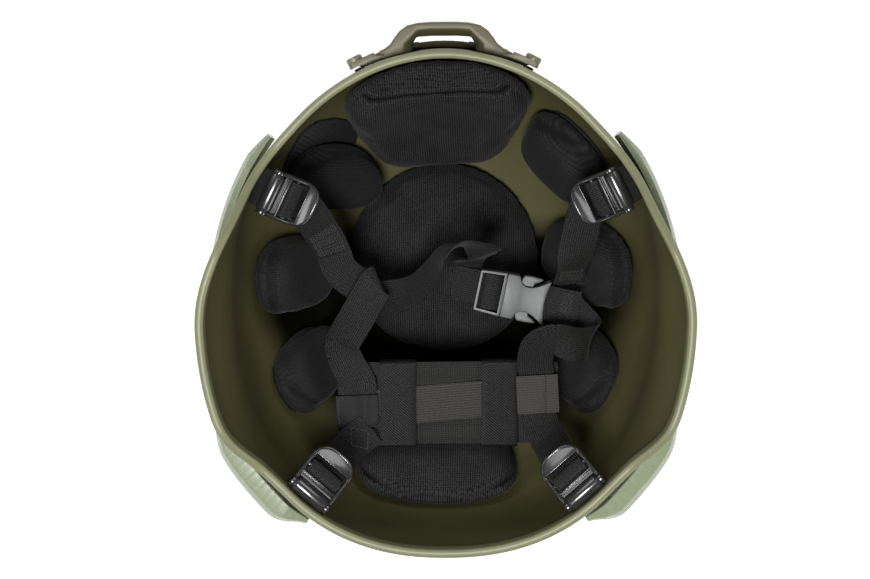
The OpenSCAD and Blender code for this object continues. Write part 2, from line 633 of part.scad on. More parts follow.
module strap_front_left() ribbon(concat(lock_loop(ANCHORS[0]), [
  [[-67.5, 32, 96], [0.7, 0.7, 0.1]], [[-63.5, 24, 89], [0.86, 0.45, 0.1]],
  [[-60.5, 16.4, 84.6], [0.98, 0.12, 0.1]]]));
module strap_front_right() ribbon(concat(lock_loop(ANCHORS[1]), [
  [[71.6, 24, 98.6], [0.95, -0.2, 0.1]], [[69, 10, 92], [0.8, 0, -0.5]], [[67, 1, 89], [0.8, 0.05, -0.4]]]));
module strap_rear_left() ribbon(concat(lock_loop(ANCHORS[2]), [
  [[-56, -86, 104], [-0.8, 0.5, 0]], [[-52, -79, 92.5], [-0.9, 0.3, 0]], [[-49.5, -70, 87.2], [-1, 0.1, 0]],
  [[-49.5, -58, 86.6], [-1, 0, 0]]]));
module strap_rear_right() ribbon(concat(lock_loop(ANCHORS[3]), [
  [[57, -86, 104], [-0.8, -0.5, 0]], [[53, -79, 92.5], [-0.9, -0.3, 0]], [[50.5, -70, 87.2], [-1, -0.1, 0]],
  [[50.5, -58, 86.6], [-1, 0, 0]]]));
module strap_side_left() ribbon([
  [[-61.3, 17.1, 80.5], [0.7, 0.7, 0.1]], [[-57.9, 8, 79.6], [0.64, 0.75, 0.1]],
  [[-50.2, 1.2, 80.6], [0.46, 0.88, 0.1]], [[-41.6, -1.1, 84], [0.15, 0.98, 0]],
  [[-36.4, 1.7, 88], [-0.35, 0.92, 0]], [[-38.7, -0, 91], [-0.45, 0.88, 0]],
  [[-47, -14.6, 89], [-0.5, 0.85, 0.05]], [[-54.8, -28.1, 86], [-0.6, 0.75, -0.1]],
  [[-57.4, -34.7, 83.8], [-0.85, 0.4, -0.2]], [[-53.7, -45.2, 84.2], [-0.95, -0.1, -0.05]],
  [[-48.1, -55.5, 85], [-1, -0.12, 0]], [[-50, -62, 85.1], [-1, 0, 0]],
  [[-49.5, -68.5, 85.1], [-1, 0, 0]]]);
module strap_side_right() ribbon([
  [[68, -16, 74.4], [0.7, 0.7, 0]], [[77, -25.6, 77.2], [0.7, 0.7, 0]],
  [[79.4, -31, 84], [0.3, 0.95, 0.1]], [[76, -33, 90.4], [0.1, 1, 0.1]],
  [[69, -32, 94.4], [-0.1, 1, 0.2]], [[59, -28.6, 96.4], [-0.3, 0.8, 0.4]],
  [[51.6, -32, 94.4], [-0.8, 0.5, 0.2]], [[48.9, -40, 90], [-1, 0.1, 0]],
  [[49.5, -49, 86.4], [-1, 0, 0]], [[50.5, -58, 85], [-1, 0, 0]],
  [[50.5, -68, 85], [-1, 0, 0]]]);

// A point given in the buckle's own axes, in the bowl's axes
function buckle_pt(p) = let (c = cos(buckle_turn), s = sin(buckle_turn))
  [buckle_x + p[0] * c - p[1] * s, buckle_y + p[0] * s + p[1] * c, buckle_h + p[2]];
function at_bar(list) = [for (p = list) [buckle_pt(p), [-sin(buckle_turn), cos(buckle_turn), 0]]];

module chin_strap_left() ribbon(concat([
  [[-42.1, -9.5, 74], [0.8, -0.5, 0.2]], [[-29.4, -7.9, 79], [0.7, -0.5, 0.5]],
  [[-16.6, -2.5, 84.4], [0.5, -0.45, 0.75]], [[-6.8, 8.4, 90], [0.35, -0.35, 0.85]],
  [[-0.2, 18.6, 95], [0.2, -0.1, 0.95]], [[9.7, 23.5, 97], [0, 0.25, 0.95]],
  [[19.6, 21.3, 95], [0.35, 0.6, 0.7]], [[24, 18.8, 90], [0.8, 0.45, 0.35]],
  [[20.5, 16, 83], [0.95, 0.25, -0.1]], [[14.6, 13, 76.6], [0.8, 0, -0.5]],
  [[11, 7, 72], [0.98, 0, -0.1]], [[13.2, -0.4, 71.2], [0.72, 0.7, 0]], [[18.2, -3.4, 71.6], [0.25, 0.97, 0]]],
  at_bar([[-9.4, 0, -7.2], [-6.3, 0, -4.4], [-5.9, 0, -0.6], [-6.5, 0, 1.7], [-9, 0, 2.7],
          [-11.6, 0, 1.6], [-12.5, 0, -1.8], [-12.6, 0, -4.6], [-15.2, 0, -6], [-20, 0, -6],
          [-28, 0, -5.6]])));
module chin_strap_right() ribbon(
  at_bar([[41, 0, 1.1], [32, 0, 2], [24.6, 0, 3.1], [21, 0, 3], [19.7, 0, 1], [19.7, 0, -1], [21, 0, -3],
          [24.6, 0, -3.1], [32, 0, -2], [41, 0, -1.1]]));

// Nape band, lying flat with two elastic loops round it and a webbing across it

band_y = -67;
webbing_l = band_w - 14;
webbing_w = 26;

module rounded(w, l, r) {
  hull() for (x = [r - w / 2, w / 2 - r], y = [r - l / 2, l / 2 - r]) translate([x, y]) circle(r = r);
}

module nape_band() in_bowl() color([0.08, 0.08, 0.08])
  translate([1, band_y, band_h]) linear_extrude(height = band_t) rounded(band_w, band_l, 3);

module nape_webbing() in_bowl() color([0.10, 0.10, 0.10])
  translate([-webbing_l / 2, band_y + 1 - webbing_w / 2, band_h + band_t + soft_gap])
    cube([webbing_l, webbing_w, web_t]);

elastic_t = 1.2;

module elastic_loop(x) in_bowl() color([0.06, 0.06, 0.06])
  translate([x - elastic_w / 2, band_y, band_h]) rotate([90, 0, 90]) linear_extrude(height = elastic_w) {
    inner_l = band_l + 2 * soft_gap;
    inner_h = band_t + web_t + 3 * soft_gap;
    translate([-inner_l / 2 - elastic_t, -soft_gap - elastic_t]) difference() {
      square([inner_l + 2 * elastic_t, inner_h + 2 * elastic_t]);
      translate([elastic_t, elastic_t]) square([inner_l, inner_h]);
    }
  }

module elastic_left() elastic_loop(-26.7);
module elastic_right() elastic_loop(29.3);

// Side release buckle, X from the plug to the socket

buckle_x = 32;
buckle_y = -6.4;
buckle_turn = -12;
mouth_gap = 0.4;

module at_buckle() {
  in_bowl() translate([buckle_x, buckle_y, buckle_h]) rotate([0, 0, buckle_turn]) children();
}

module socket_outline() {
  w = socket_w / 2;
  difference() {
    polygon([[0, -w + 1], [1, -w], [socket_l - 8, -w], [socket_l - 2, -w + 1.5], [socket_l, -w + 4],
             [socket_l, w - 4], [socket_l - 2, w - 1.5], [socket_l - 8, w], [1, w], [0, w - 1]]);
    for (side = [-1, 1]) translate([12, side * (w + 4)]) circle(r = 6.6);
    translate([socket_l + 8.4, 0]) circle(r = 10.2);
  }
}

cavity_l = 17;
bar_slot_x = 18.4;
web_slot = web_w / 2 + 0.5;

// Open for the arms at the mouth and the sides, with a bar for the webbing at the far end
module buckle_socket() at_buckle() color([0.17, 0.17, 0.18]) difference() {
  translate([0, 0, -socket_t / 2]) linear_extrude(height = socket_t) socket_outline();
  translate([-1, -socket_w / 2 + 2.4, -socket_t / 2 + 1.8])
    cube([cavity_l + 1, socket_w - 3.8, socket_t - 3.6]);
  translate([7.6, -socket_w, -socket_t / 2 + 1.8]) cube([8, 2 * socket_w, socket_t - 3.6]);
  translate([bar_slot_x, -web_slot, -socket_t]) cube([3, 2 * web_slot, 2 * socket_t]);
  for (z = [1.6, -1.6 - socket_t]) translate([bar_slot_x, -web_slot, z]) cube([20, 2 * web_slot, socket_t]);
}

module buckle_plug() at_buckle() color([0.17, 0.17, 0.18]) {
  w = socket_w / 2;
  translate([0, 0, -socket_t / 2 + 0.4]) linear_extrude(height = socket_t - 0.8) difference() {
    polygon([[-mouth_gap, -w + 0.3], [-mouth_gap, w - 0.3], [-frame_l + 1, w - 0.2], [-frame_l, w - 1],
             [-frame_l, -w + 1], [-frame_l + 1, -w + 0.2]]);
    translate([-frame_l + 2.6, -web_slot]) square([frame_l - 2.6 - 4.2, 2 * web_slot]);
  }
  translate([-10.3, -web_w / 2 - 1, -1.2]) cube([2.6, web_w + 2, 2.4]);
  translate([-1, -1.8, -1.6]) cube([14.5, 3.6, 3.2]);
  translate([-1, -socket_w / 2 + 2.4, -2]) cube([4, socket_w - 4.8, 4]);
}

module latch_arm(side) at_buckle() color([0.17, 0.17, 0.18])
  translate([0, 0, -1.9]) linear_extrude(height = 3.8) polygon([for (p = [
      [3.3, 7], [3.3, 9.6], [8.4, 9.4], [8.8, 11.2], [13.6, 11.2], [15.2, 9], [14.6, 7.4], [8, 7]])
    [p[0], side * p[1]]]);

module latch_arm_front() latch_arm(1);
module latch_arm_rear() latch_arm(-1);

shell();
rim_edging();
front_bracket();
bracket_screws();
bracket_nuts();
rail_left();
rail_right();
rail_spacers();
anchor_bolts();
anchor_nuts();
anchor_tab_front_left();
anchor_tab_front_right();
anchor_tab_rear_left();
anchor_tab_rear_right();
ladder_lock_front_left();
ladder_lock_front_right();
ladder_lock_rear_left();
ladder_lock_rear_right();
hook_patches();
crown_pad();
brow_pad();
nape_pad();
front_pad_left();
front_pad_right();
side_pad_left();
side_pad_right();
rear_pad_left();
rear_pad_right();
strap_front_left();
strap_front_right();
strap_side_left();
strap_side_right();
strap_rear_left();
strap_rear_right();
chin_strap_left();
chin_strap_right();
nape_band();
nape_webbing();
elastic_left();
elastic_right();
buckle_socket();
buckle_plug();
latch_arm_front();
latch_arm_rear();
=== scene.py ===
"""Combat helmet lying upside down on its crown: its looks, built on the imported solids.

Sizes are in millimetres in the bowl's own axes: X across the ears, Y to the brow, Z out of the bowl. Angles are
in degrees, and azimuths are counted from the right ear to the brow. Docstrings name a unit only where it is
another one. place() turns a point into the shared frame, in metres.
"""

import logging
import math
from dataclasses import dataclass, field
from enum import Enum
from typing import Optional, Sequence

import bpy
from mathutils import Matrix, Vector


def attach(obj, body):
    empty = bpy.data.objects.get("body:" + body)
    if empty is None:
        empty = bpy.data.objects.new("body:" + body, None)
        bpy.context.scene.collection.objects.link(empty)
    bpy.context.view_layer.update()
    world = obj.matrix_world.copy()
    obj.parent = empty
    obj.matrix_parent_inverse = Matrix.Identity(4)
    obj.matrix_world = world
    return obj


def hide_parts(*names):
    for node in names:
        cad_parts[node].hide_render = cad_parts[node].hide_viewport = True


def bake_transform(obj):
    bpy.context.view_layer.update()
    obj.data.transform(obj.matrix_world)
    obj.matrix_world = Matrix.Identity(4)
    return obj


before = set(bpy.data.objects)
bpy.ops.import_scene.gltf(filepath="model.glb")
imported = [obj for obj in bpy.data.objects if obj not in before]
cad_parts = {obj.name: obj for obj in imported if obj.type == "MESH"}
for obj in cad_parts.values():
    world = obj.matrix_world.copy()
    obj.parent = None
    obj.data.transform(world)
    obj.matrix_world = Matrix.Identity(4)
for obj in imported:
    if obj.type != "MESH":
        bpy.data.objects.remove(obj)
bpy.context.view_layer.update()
BOWL_Y = -4.425
ROOT = "helmet"
log = logging.getLogger("helmet")

Point = Sequence[float]
Pair = tuple[float, float]
Triple = tuple[float, float, float]
Station = tuple[Point, Point]
Piece = bpy.types.Object
Socket = bpy.types.NodeSocket


def place(p: Point) -> Vector:
    """Gives a point in the bowl's axes, as a point of the shared frame."""
    return Vector((p[0], p[1] + BOWL_Y, p[2])) / 1000


def soft(t: float) -> float:
    """Gives a smooth step from 0 to 1."""
    c = min(1.0, max(0.0, t))
    return c * c * (3 - 2 * c)


def turned(degrees: float) -> Pair:
    """Gives the cosine and the sine of an angle."""
    return math.cos(math.radians(degrees)), math.sin(math.radians(degrees))


def signed_pow(x: float, k: float) -> float:
    """Gives |x| to the power k with the sign of x."""
    return math.copysign(abs(x) ** k, x)


@dataclass(frozen=True)
class Bowl:
    """The moulded wall: its outline in plan, its crown and its rim."""

    half_w: float = 117.0
    front: float = 131.0
    rear: float = 133.0
    depth: float = 110.0
    crown: float = 2.15
    wall: float = 3.0
    brow_h: float = 127.0
    ear_h: float = 172.0
    nape_h: float = 158.0
    ear_flare: float = 10.0
    front_round: float = 1.95
    rear_round: float = 2.25
    ahead: float = -10.0
    brow_rise: Pair = (43.0, 31.0)
    nape_rise: Pair = (43.0, 15.0)
    flare_front: Pair = (27.0, 32.0)
    flare_rear: Pair = (50.0, 25.0)

    def reach(self, az: float) -> Triple:
        """Gives half depth, exponent and radius of the plan outline.

        Args:
            az: azimuth.

        Returns:
            Half depth, exponent and radius.
        """
        c, s = turned(az)
        b, m = (self.front, self.front_round) if s >= 0 else (self.rear, self.rear_round)
        r = ((abs(c) / self.half_w) ** m + (abs(s) / b) ** m) ** (-1 / m)
        return b, m, r

    def normal_az(self, az: float) -> float:
        """Gives the azimuth of the wall's outward normal.

        Args:
            az: azimuth.

        Returns:
            The normal's azimuth.
        """
        b, m, r = self.reach(az)
        c, s = turned(az)
        y = math.copysign((r * abs(s) / b) ** (m - 1) / b, s)
        x = math.copysign((r * abs(c) / self.half_w) ** (m - 1) / self.half_w, c)
        return math.degrees(math.atan2(y, x))

    def from_ear(self, az: float) -> float:
        """Gives the angle ahead of the line across the ears."""
        return math.degrees(math.asin(math.sin(math.radians(az))))

    def rim_h(self, az: float) -> float:
        """Gives the rim's height at an azimuth.

        Args:
            az: azimuth.

        Returns:
            The height.
        """
        e = self.from_ear(az)
        if e > self.ahead:
            start, run = self.brow_rise
            return self.brow_h + (self.ear_h - self.brow_h) * soft((start - e) / run)
        start, run = self.nape_rise
        return self.nape_h + (self.ear_h - self.nape_h) * soft((e + start) / run)

    def flare(self, az: float, z: float) -> float:
        """Gives how far the ear flare moves the wall out."""
        e = self.from_ear(az)
        start, run = self.flare_front if e > self.ahead else self.flare_rear
        share = soft((start - e) / run) if e > self.ahead else soft((e + start) / run)
        return self.ear_flare * share * soft((z - self.depth) / (self.ear_h - self.depth))

    def radius(self, az: float, z: float, d: float) -> float:
        """Gives the wall's radius, d inside its outer face, at a height."""
        full = 1.0
        if z < self.depth:
            full = max(0.0, 1 - ((self.depth - z) / (self.depth - d)) ** self.crown) ** (1 / self.crown)
        return (self.reach(az)[2] - d) * full + self.flare(az, z)

    def point(self, az: float, z: float, d: float) -> Vector:
        """Gives a point of the wall, d inside its outer face."""
        r, (c, s) = self.radius(az, z, d), turned(az)
        return Vector((r * c, r * s, z))

    def share(self, p: Point, d: float) -> float:
        """Gives how far out p is from the bowl's centre, where 1 is on the wall d inside.

        Args:
            p: the point.
            d: depth inside the outer face.

        Returns:
            The share.
        """
        az = math.degrees(math.atan2(p[1], p[0]))
        r = math.hypot(p[0], p[1]) / (self.reach(az)[2] - d + self.flare(az, p[2]))
        drop = self.depth - p[2]
        if drop <= 0:
            return r
        return (r ** self.crown + (drop / (self.depth - d)) ** self.crown) ** (1 / self.crown)

    def on_wall(self, p: Point, d: float) -> Vector:
        """Gives the wall's point on the ray from the bowl's centre through p."""
        s = self.share(p, d)
        return Vector((p[0] / s, p[1] / s, self.depth - (self.depth - p[2]) / s))

    def bolt_frame(self, az: float, h: float) -> Matrix:
        """Gives the place of a bolt, Z out along the wall's normal.

        Args:
            az: azimuth of the bolt.
            h: its height.

        Returns:
            A matrix in the shared frame.
        """
        slope = math.atan(self.radius(az, h + 0.5, 0) - self.radius(az, h - 0.5, 0))
        turn = Matrix.Rotation(math.radians(self.normal_az(az)), 4, "Z")
        lean = Matrix.Rotation(math.pi / 2 + slope, 4, "Y")
        return Matrix.Translation(place(self.point(az, h, 0))) @ turn @ lean


BOWL = Bowl()


@dataclass(frozen=True)
class TrimmedBowl(Bowl):
    """The bowl with the slightly flatter brow that its rim shows."""

    front_trim: float = 2.5
    trim_az: Pair = (30.0, 20.0)
    trim_h: Pair = (70.0, 45.0)

    def flare(self, az: float, z: float) -> float:
        """Gives how far the ear flare and the flatter brow move the wall out."""
        (az0, az_run), (h0, h_run) = self.trim_az, self.trim_h
        brow = soft((self.from_ear(az) - az0) / az_run) * soft((z - h0) / h_run)
        return super().flare(az, z) - self.front_trim * brow


@dataclass(frozen=True)
class Anchor:
    """One of the four hinges that carry the ladder locks."""

    key: str
    az: float
    pin_h: float
    inset: float
    tilt: float

    def lock_frame(self) -> Matrix:
        """Gives the lock's place: X along the pin, Y to the pull tab, Z out of the bowl.

        Returns:
            A matrix in the shared frame.
        """
        c, s = turned(self.tilt)
        out, up = Vector((*turned(BOWL.normal_az(self.az)), 0)), Vector((0, 0, 1))
        pin = BOWL.point(self.az, self.pin_h, 0) - (BOWL.wall + self.inset) * out
        m = Matrix((self.along, -c * out - s * up, -s * out + c * up))
        return Matrix.Translation(place(pin)) @ m.transposed().to_4x4()

    def lock_pt(self, p: Point) -> Vector:
        """Gives a point of the lock's own axes in the bowl's axes."""
        q = self.lock_frame() @ (Vector(p) / 1000) * 1000
        return Vector((q.x, q.y - BOWL_Y, q.z))

    @property
    def along(self) -> Vector:
        """Direction of the hinge pin."""
        c, s = turned(BOWL.normal_az(self.az))
        return Vector((-s, c, 0))


ANCHORS = (
    Anchor("front_left", 149.0, 130.009, 9.5, 35.0),
    Anchor("front_right", 31.0, 130.009, 9.5, 35.0),
    Anchor("rear_left", 234.0, 154.0, 5.2, 33.0),
    Anchor("rear_right", -54.0, 154.0, 5.2, 33.0),
)


# Modelling calls


def select_only(obj: Piece) -> None:
    """Selects one object and makes it active."""
    bpy.ops.object.select_all(action="DESELECT")
    obj.select_set(True)
    bpy.context.view_layer.objects.active = obj


def linked(name: str, data: bpy.types.ID) -> Piece:
    """Makes an object of a mesh, lamp or camera and adds it to the scene."""
    obj = bpy.data.objects.new(name, data)
    bpy.context.scene.collection.objects.link(obj)
    return obj


def new_piece(name: str, verts: Sequence[Point], faces: Sequence[Sequence[int]]) -> Piece:
    """Makes a piece from points of the shared frame and the faces over them."""
    mesh = bpy.data.meshes.new(name)
    mesh.from_pydata([tuple(v) for v in verts], [], [tuple(f) for f in faces])
    return linked(name, mesh)


def turn_out(obj: Piece) -> None:
    """Turns all faces of a closed piece outwards.

    Args:
        obj: the piece.
    """
    select_only(obj)
    bpy.ops.object.mode_set(mode="EDIT")
    bpy.ops.mesh.select_all(action="SELECT")
    bpy.ops.mesh.normals_make_consistent(inside=False)
    bpy.ops.object.mode_set(mode="OBJECT")


def map_uv(obj: Piece, spots: Sequence[Pair]) -> None:
    """Gives a piece its UV map from one place, in metres, for each of its points.

    Args:
        obj: the piece.
        spots: the places, in the order of its points.
    """
    layers = obj.data.uv_layers
    uv = layers[0] if layers else layers.new(name="UVMap")
    uv.name = "UVMap"
    for loop in obj.data.loops:
        uv.data[loop.index].uv = spots[loop.vertex_index]


def cylinder(radius: float, length: float, sides: int) -> Piece:
    """Adds an upright cylinder at the origin."""
    bpy.ops.object.select_all(action="DESELECT")
    bpy.ops.mesh.primitive_cylinder_add(vertices=sides, radius=radius / 1000, depth=length / 1000)
    return bpy.context.object


def merged_copy(node: str, name: str) -> Piece:
    """Copies a solid's mesh, joins its loose triangles and clears flat edges.

    Args:
        node: the solid's name.
        name: the new piece's name.

    Returns:
        The new piece.
    """
    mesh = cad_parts[node].data.copy()
    mesh.materials.clear()
    obj = linked(name, mesh)
    select_only(obj)
    bpy.ops.object.mode_set(mode="EDIT")
    bpy.ops.mesh.select_all(action="SELECT")
    bpy.ops.mesh.remove_doubles(threshold=4e-6)
    bpy.ops.mesh.dissolve_limited(angle_limit=math.radians(0.6))
    bpy.ops.object.mode_set(mode="OBJECT")
    return obj


def apply_modifier(obj: Piece, kind: str, **settings: object) -> None:
    """Adds a modifier with its settings and applies it.

    Args:
        obj: the piece.
        kind: the modifier's type.
        settings: its properties.
    """
    select_only(obj)
    mod = obj.modifiers.new(kind.lower(), kind)
    for key, value in settings.items():
        setattr(mod, key, value)
    bpy.ops.object.modifier_apply(modifier=mod.name)


def round_edges(obj: Piece, width: float, segments: int = 2, angle: float = 40.0) -> None:
    """Bevels the sharp edges and smooths what is left.

    Args:
        obj: the piece.
        width: the bevel's width.
        segments: how many faces round each edge.
        angle: the least angle that counts as sharp.
    """
    apply_modifier(obj, "BEVEL", width=width / 1000, segments=segments, limit_method="ANGLE",
                   angle_limit=math.radians(angle), use_clamp_overlap=True)
    select_only(obj)
    bpy.ops.object.shade_smooth_by_angle(angle=math.radians(50))


def cut_away(obj: Piece, tool: Piece) -> None:
    """Takes a cutter's volume out of a piece and drops the cutter."""
    apply_modifier(obj, "BOOLEAN", object=tool, solver="EXACT")
    discard(tool)


def smooth(obj: Piece, angle: float = 180.0) -> None:
    """Shades a piece smooth up to an angle.

    Args:
        obj: the piece.
        angle: the sharpest angle that is smoothed.
    """
    select_only(obj)
    if angle >= 180:
        bpy.ops.object.shade_smooth()
    else:
        bpy.ops.object.shade_smooth_by_angle(angle=math.radians(angle))


def outline_solid(name: str, outline: Sequence[Point], low: float, high: float) -> Piece:
    """Raises a flat outline into a solid.

    Args:
        name: the piece's name.
        outline: points (x, y), anticlockwise.
        low: height of its lower face.
        high: height of its upper face.

    Returns:
        The piece, in its own axes, in metres.
    """
    bpy.ops.object.select_all(action="DESELECT")
    bpy.ops.mesh.primitive_circle_add(vertices=len(outline), radius=0.01, fill_type="NGON")
    obj = bpy.context.object
    obj.name = name
    for v, p in zip(obj.data.vertices, outline):
        v.co = (p[0] / 1000, p[1] / 1000, low / 1000)
    bpy.ops.object.mode_set(mode="EDIT")
    bpy.ops.mesh.select_all(action="SELECT")
    bpy.ops.mesh.extrude_region_move(TRANSFORM_OT_translate={"value": (0, 0, (high - low) / 1000)})
    bpy.ops.object.mode_set(mode="OBJECT")
    turn_out(obj)
    return obj


def moved(obj: Piece, matrix: Matrix) -> Piece:
    """Puts a piece's mesh in place, and leaves its object at the origin."""
    obj.data.transform(matrix)
    obj.matrix_world = Matrix.Identity(4)
    return obj


def joined(name: str, parts: Sequence[Piece]) -> Piece:
    """Joins parts into one piece.

    Args:
        name: the piece's name.
        parts: the parts.

    Returns:
        The piece.
    """
    select_only(parts[0])
    for part in parts[1:]:
        part.select_set(True)
    if len(parts) > 1:
        bpy.ops.object.join()
    parts[0].name = name
    parts[0].data.name = name
    return parts[0]


def copied(obj: Piece, name: str, matrix: Matrix) -> Piece:
    """Copies a piece with its own mesh and puts the copy in place."""
    return moved(linked(name, obj.data.copy()), matrix)


def discard(obj: Piece) -> None:
    """Removes a pattern piece after its copies are made."""
    bpy.data.objects.remove(obj, do_unlink=True)


def dress(obj: Piece, finish: "Finish", body: Optional[str], nodes: Sequence[str]) -> Piece:
    """Gives a piece its finish and its body, and hides the solids that it replaces.

    Args:
        obj: the piece.
        finish: the material's maker.
        body: the body that carries it, or None to attach it to no body.
        nodes: the solids that it replaces.

    Returns:
        The piece.
    """
    obj.data.materials.clear()
    obj.data.materials.append(finish.material())
    if body:
        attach(obj, body)
    if nodes:
        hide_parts(*nodes)
    log.info("%s: %d faces", obj.name, len(obj.data.polygons))
    return obj


def closed_loft(name: str, rows: Sequence[Sequence[Point]], ring: bool = False,
                tips: Optional[tuple[Point, Point]] = None, own: bool = False) -> Piece:
    """Skins rings of points in the bowl's axes, or in the piece's own.

    Args:
        name: the piece's name.
        rows: rings of points, each with the same count.
        ring: whether the last ring meets the first.
        tips: points that close the first and last ring, where they aren't flat.
        own: whether the points are in the piece's own axes.

    Returns:
        The piece, with its normals outwards.
    """
    n, m = len(rows[0]), len(rows)
    verts = [Vector(p) / 1000 if own else place(p) for row in rows for p in row]
    faces = [((i % m) * n + j, ((i + 1) % m) * n + j, ((i + 1) % m) * n + (j + 1) % n, (i % m) * n + (j + 1) % n)
             for i in range(m if ring else m - 1) for j in range(n)]
    if tips:
        verts += [place(tips[0]), place(tips[1])]
        faces += [(m * n, j, (j + 1) % n) for j in range(n)]
        faces += [(m * n + 1, (m - 1) * n + (j + 1) % n, (m - 1) * n + j) for j in range(n)]
    elif not ring:
        faces += [tuple(range(n)), tuple((m - 1) * n + j for j in reversed(range(n)))]
    obj = new_piece(name, verts, faces)
    turn_out(obj)
    return obj


# Shader nodes


@dataclass
class Nodes:
    """Lays nodes in one tree and links them by short calls."""

    tree: bpy.types.NodeTree

    def add(self, kind: str, settings: Optional[dict] = None, **inputs: object) -> bpy.types.Node:
        """Adds a node.

        Args:
            kind: the node's type without its prefix.
            settings: values of the node's own properties.
            inputs: sockets by name, an underscore for each space, with a value or a socket to link.

        Returns:
            The node.
        """
        node = self.tree.nodes.new("ShaderNode" + kind)
        for key, value in (settings or {}).items():
            setattr(node, key, value)
        return self.fill(node, **inputs)

    def fill(self, node: bpy.types.Node, **inputs: object) -> bpy.types.Node:
        """Sets a node's inputs by name, an underscore for each space."""
        for key, value in inputs.items():
            self.feed(node.inputs[key.replace("_", " ")], value)
        return node

    def feed(self, socket: Socket, value: object) -> None:
        """Links a socket to another, or sets its value.

        Args:
            socket: the socket to fill.
            value: a socket or a plain value.
        """
        if isinstance(value, Socket):
            self.tree.links.new(value, socket)
        elif socket.type == "RGBA" and isinstance(value, tuple) and len(value) == 3:
            socket.default_value = (*value, 1.0)
        else:
            socket.default_value = value

    def math(self, operation: str, *values: object, clamp: bool = False) -> Socket:
        """Adds a Math node and gives its output."""
        node = self.add("Math", {"operation": operation, "use_clamp": clamp})
        for socket, value in zip(node.inputs, values):
            self.feed(socket, value)
        return node.outputs[0]

    def times(self, a: object, b: object, clamp: bool = False) -> Socket:
        """Multiplies two values."""
        return self.math("MULTIPLY", a, b, clamp=clamp)

    def scaled(self, value: object, by: object, plus: object) -> Socket:
        """Multiplies a value and adds another to it."""
        return self.math("MULTIPLY_ADD", value, by, plus)

    def mix(self, fac: object, a: object, b: object) -> Socket:
        """Mixes two colours and gives the result."""
        node = self.add("Mix", {"data_type": "RGBA", "clamp_factor": True})
        for index, value in ((0, fac), (6, a), (7, b)):
            self.feed(node.inputs[index], value)
        return node.outputs[2]

    def steps(self, value: object, low: float, high: float) -> Socket:
        """Gives a smooth step from 0 to 1 while the value goes from low to high."""
        node = self.add("MapRange", {"interpolation_type": "SMOOTHSTEP"}, Value=value, From_Min=low, From_Max=high)
        return node.outputs[0]

    def noise(self, vector: object, scale: float, detail: float = 3.0, rough: float = 0.5) -> Socket:
        """Adds a noise texture and gives its value."""
        node = self.add("TexNoise", None, Vector=vector, Scale=scale, Detail=detail, Roughness=rough)
        return node.outputs["Fac"]

    def split(self, vector: object) -> tuple[Socket, ...]:
        """Splits a vector into its three values."""
        return tuple(self.add("SeparateXYZ", None, Vector=vector).outputs)

    def wave(self, value: object, pitch: object) -> Socket:
        """Gives a wave from 0 to 1 whose length is the pitch, in metres."""
        turn = self.math("SINE", self.times(self.math("DIVIDE", value, pitch), 2 * math.pi))
        return self.scaled(turn, 0.5, 0.5)

    def bump(self, height: object, strength: float, distance: float) -> Socket:
        """Adds a Bump node and gives its normal."""
        return self.add("Bump", None, Height=height, Strength=strength, Distance=distance / 1000).outputs[0]


def grit_nodes(n: Nodes, i: dict) -> dict:
    """Lays fine moulded or sprayed grit: its height and its slow change of tone.

    Args:
        n: lays the nodes.
        i: the group's inputs by name.

    Returns:
        The group's outputs by name.
    """
    fine = n.noise(i["Vector"], i["Scale"], 4.0, 0.65)
    pores = n.add("TexVoronoi", None, Vector=i["Vector"], Scale=n.times(i["Scale"], 0.45))
    height = n.scaled(pores.outputs["Distance"], 0.6, n.times(fine, 0.7))
    tone = n.steps(n.noise(i["Vector"], 22.0, 5.0, 0.6), 0.3, 0.72)
    return {"Height": height, "Tone": tone}


def wear_nodes(n: Nodes, i: dict) -> dict:
    """Lays worn edges: a mask where the surface turns sharply outwards, broken up by noise."""
    point = n.add("NewGeometry").outputs["Pointiness"]
    edge = n.steps(point, 0.505, 0.56)
    patchy = n.steps(n.noise(i["Vector"], i["Scale"], 6.0, 0.7), 0.42, 0.66)
    return {"Mask": n.times(n.times(edge, patchy), i["Amount"], clamp=True)}


def lint_nodes(n: Nodes, i: dict) -> dict:
    """Lays sparse pale specks and short fibres that cling to dark cloth."""
    near = n.add("TexVoronoi", None, Vector=i["Vector"], Scale=i["Scale"])
    speck = n.steps(near.outputs["Distance"], 0.09, 0.03)
    rare = n.steps(n.noise(i["Vector"], n.times(i["Scale"], 0.37), 2.0), 0.52, 0.66)
    return {"Mask": n.times(n.times(speck, rare), i["Amount"], clamp=True)}


def webbing_nodes(n: Nodes, i: dict) -> dict:
    """Lays woven webbing: lengthwise cords, each with slanting picks that turn at the next cord.

    Args:
        n: lays the nodes.
        i: the group's inputs by name.

    Returns:
        The group's outputs by name.
    """
    u, v, _ = n.split(i["UV"])
    cord = n.math("DIVIDE", u, i["Cord"])
    fold = n.math("PINGPONG", cord, 1.0)
    slant = n.scaled(fold, i["Slant"], n.math("DIVIDE", v, i["Pick"]))
    pick = n.scaled(n.math("SINE", n.times(slant, 2 * math.pi)), 0.5, 0.5)
    ridge = n.math("SINE", n.times(n.math("FRACT", cord), math.pi))
    height = n.times(n.math("POWER", ridge, 0.6), n.scaled(pick, 0.55, 0.45))
    tone = n.scaled(n.noise(i["UV"], 1000.0, 3.0), 0.65, n.times(height, 0.45))
    return {"Height": height, "Tone": tone}


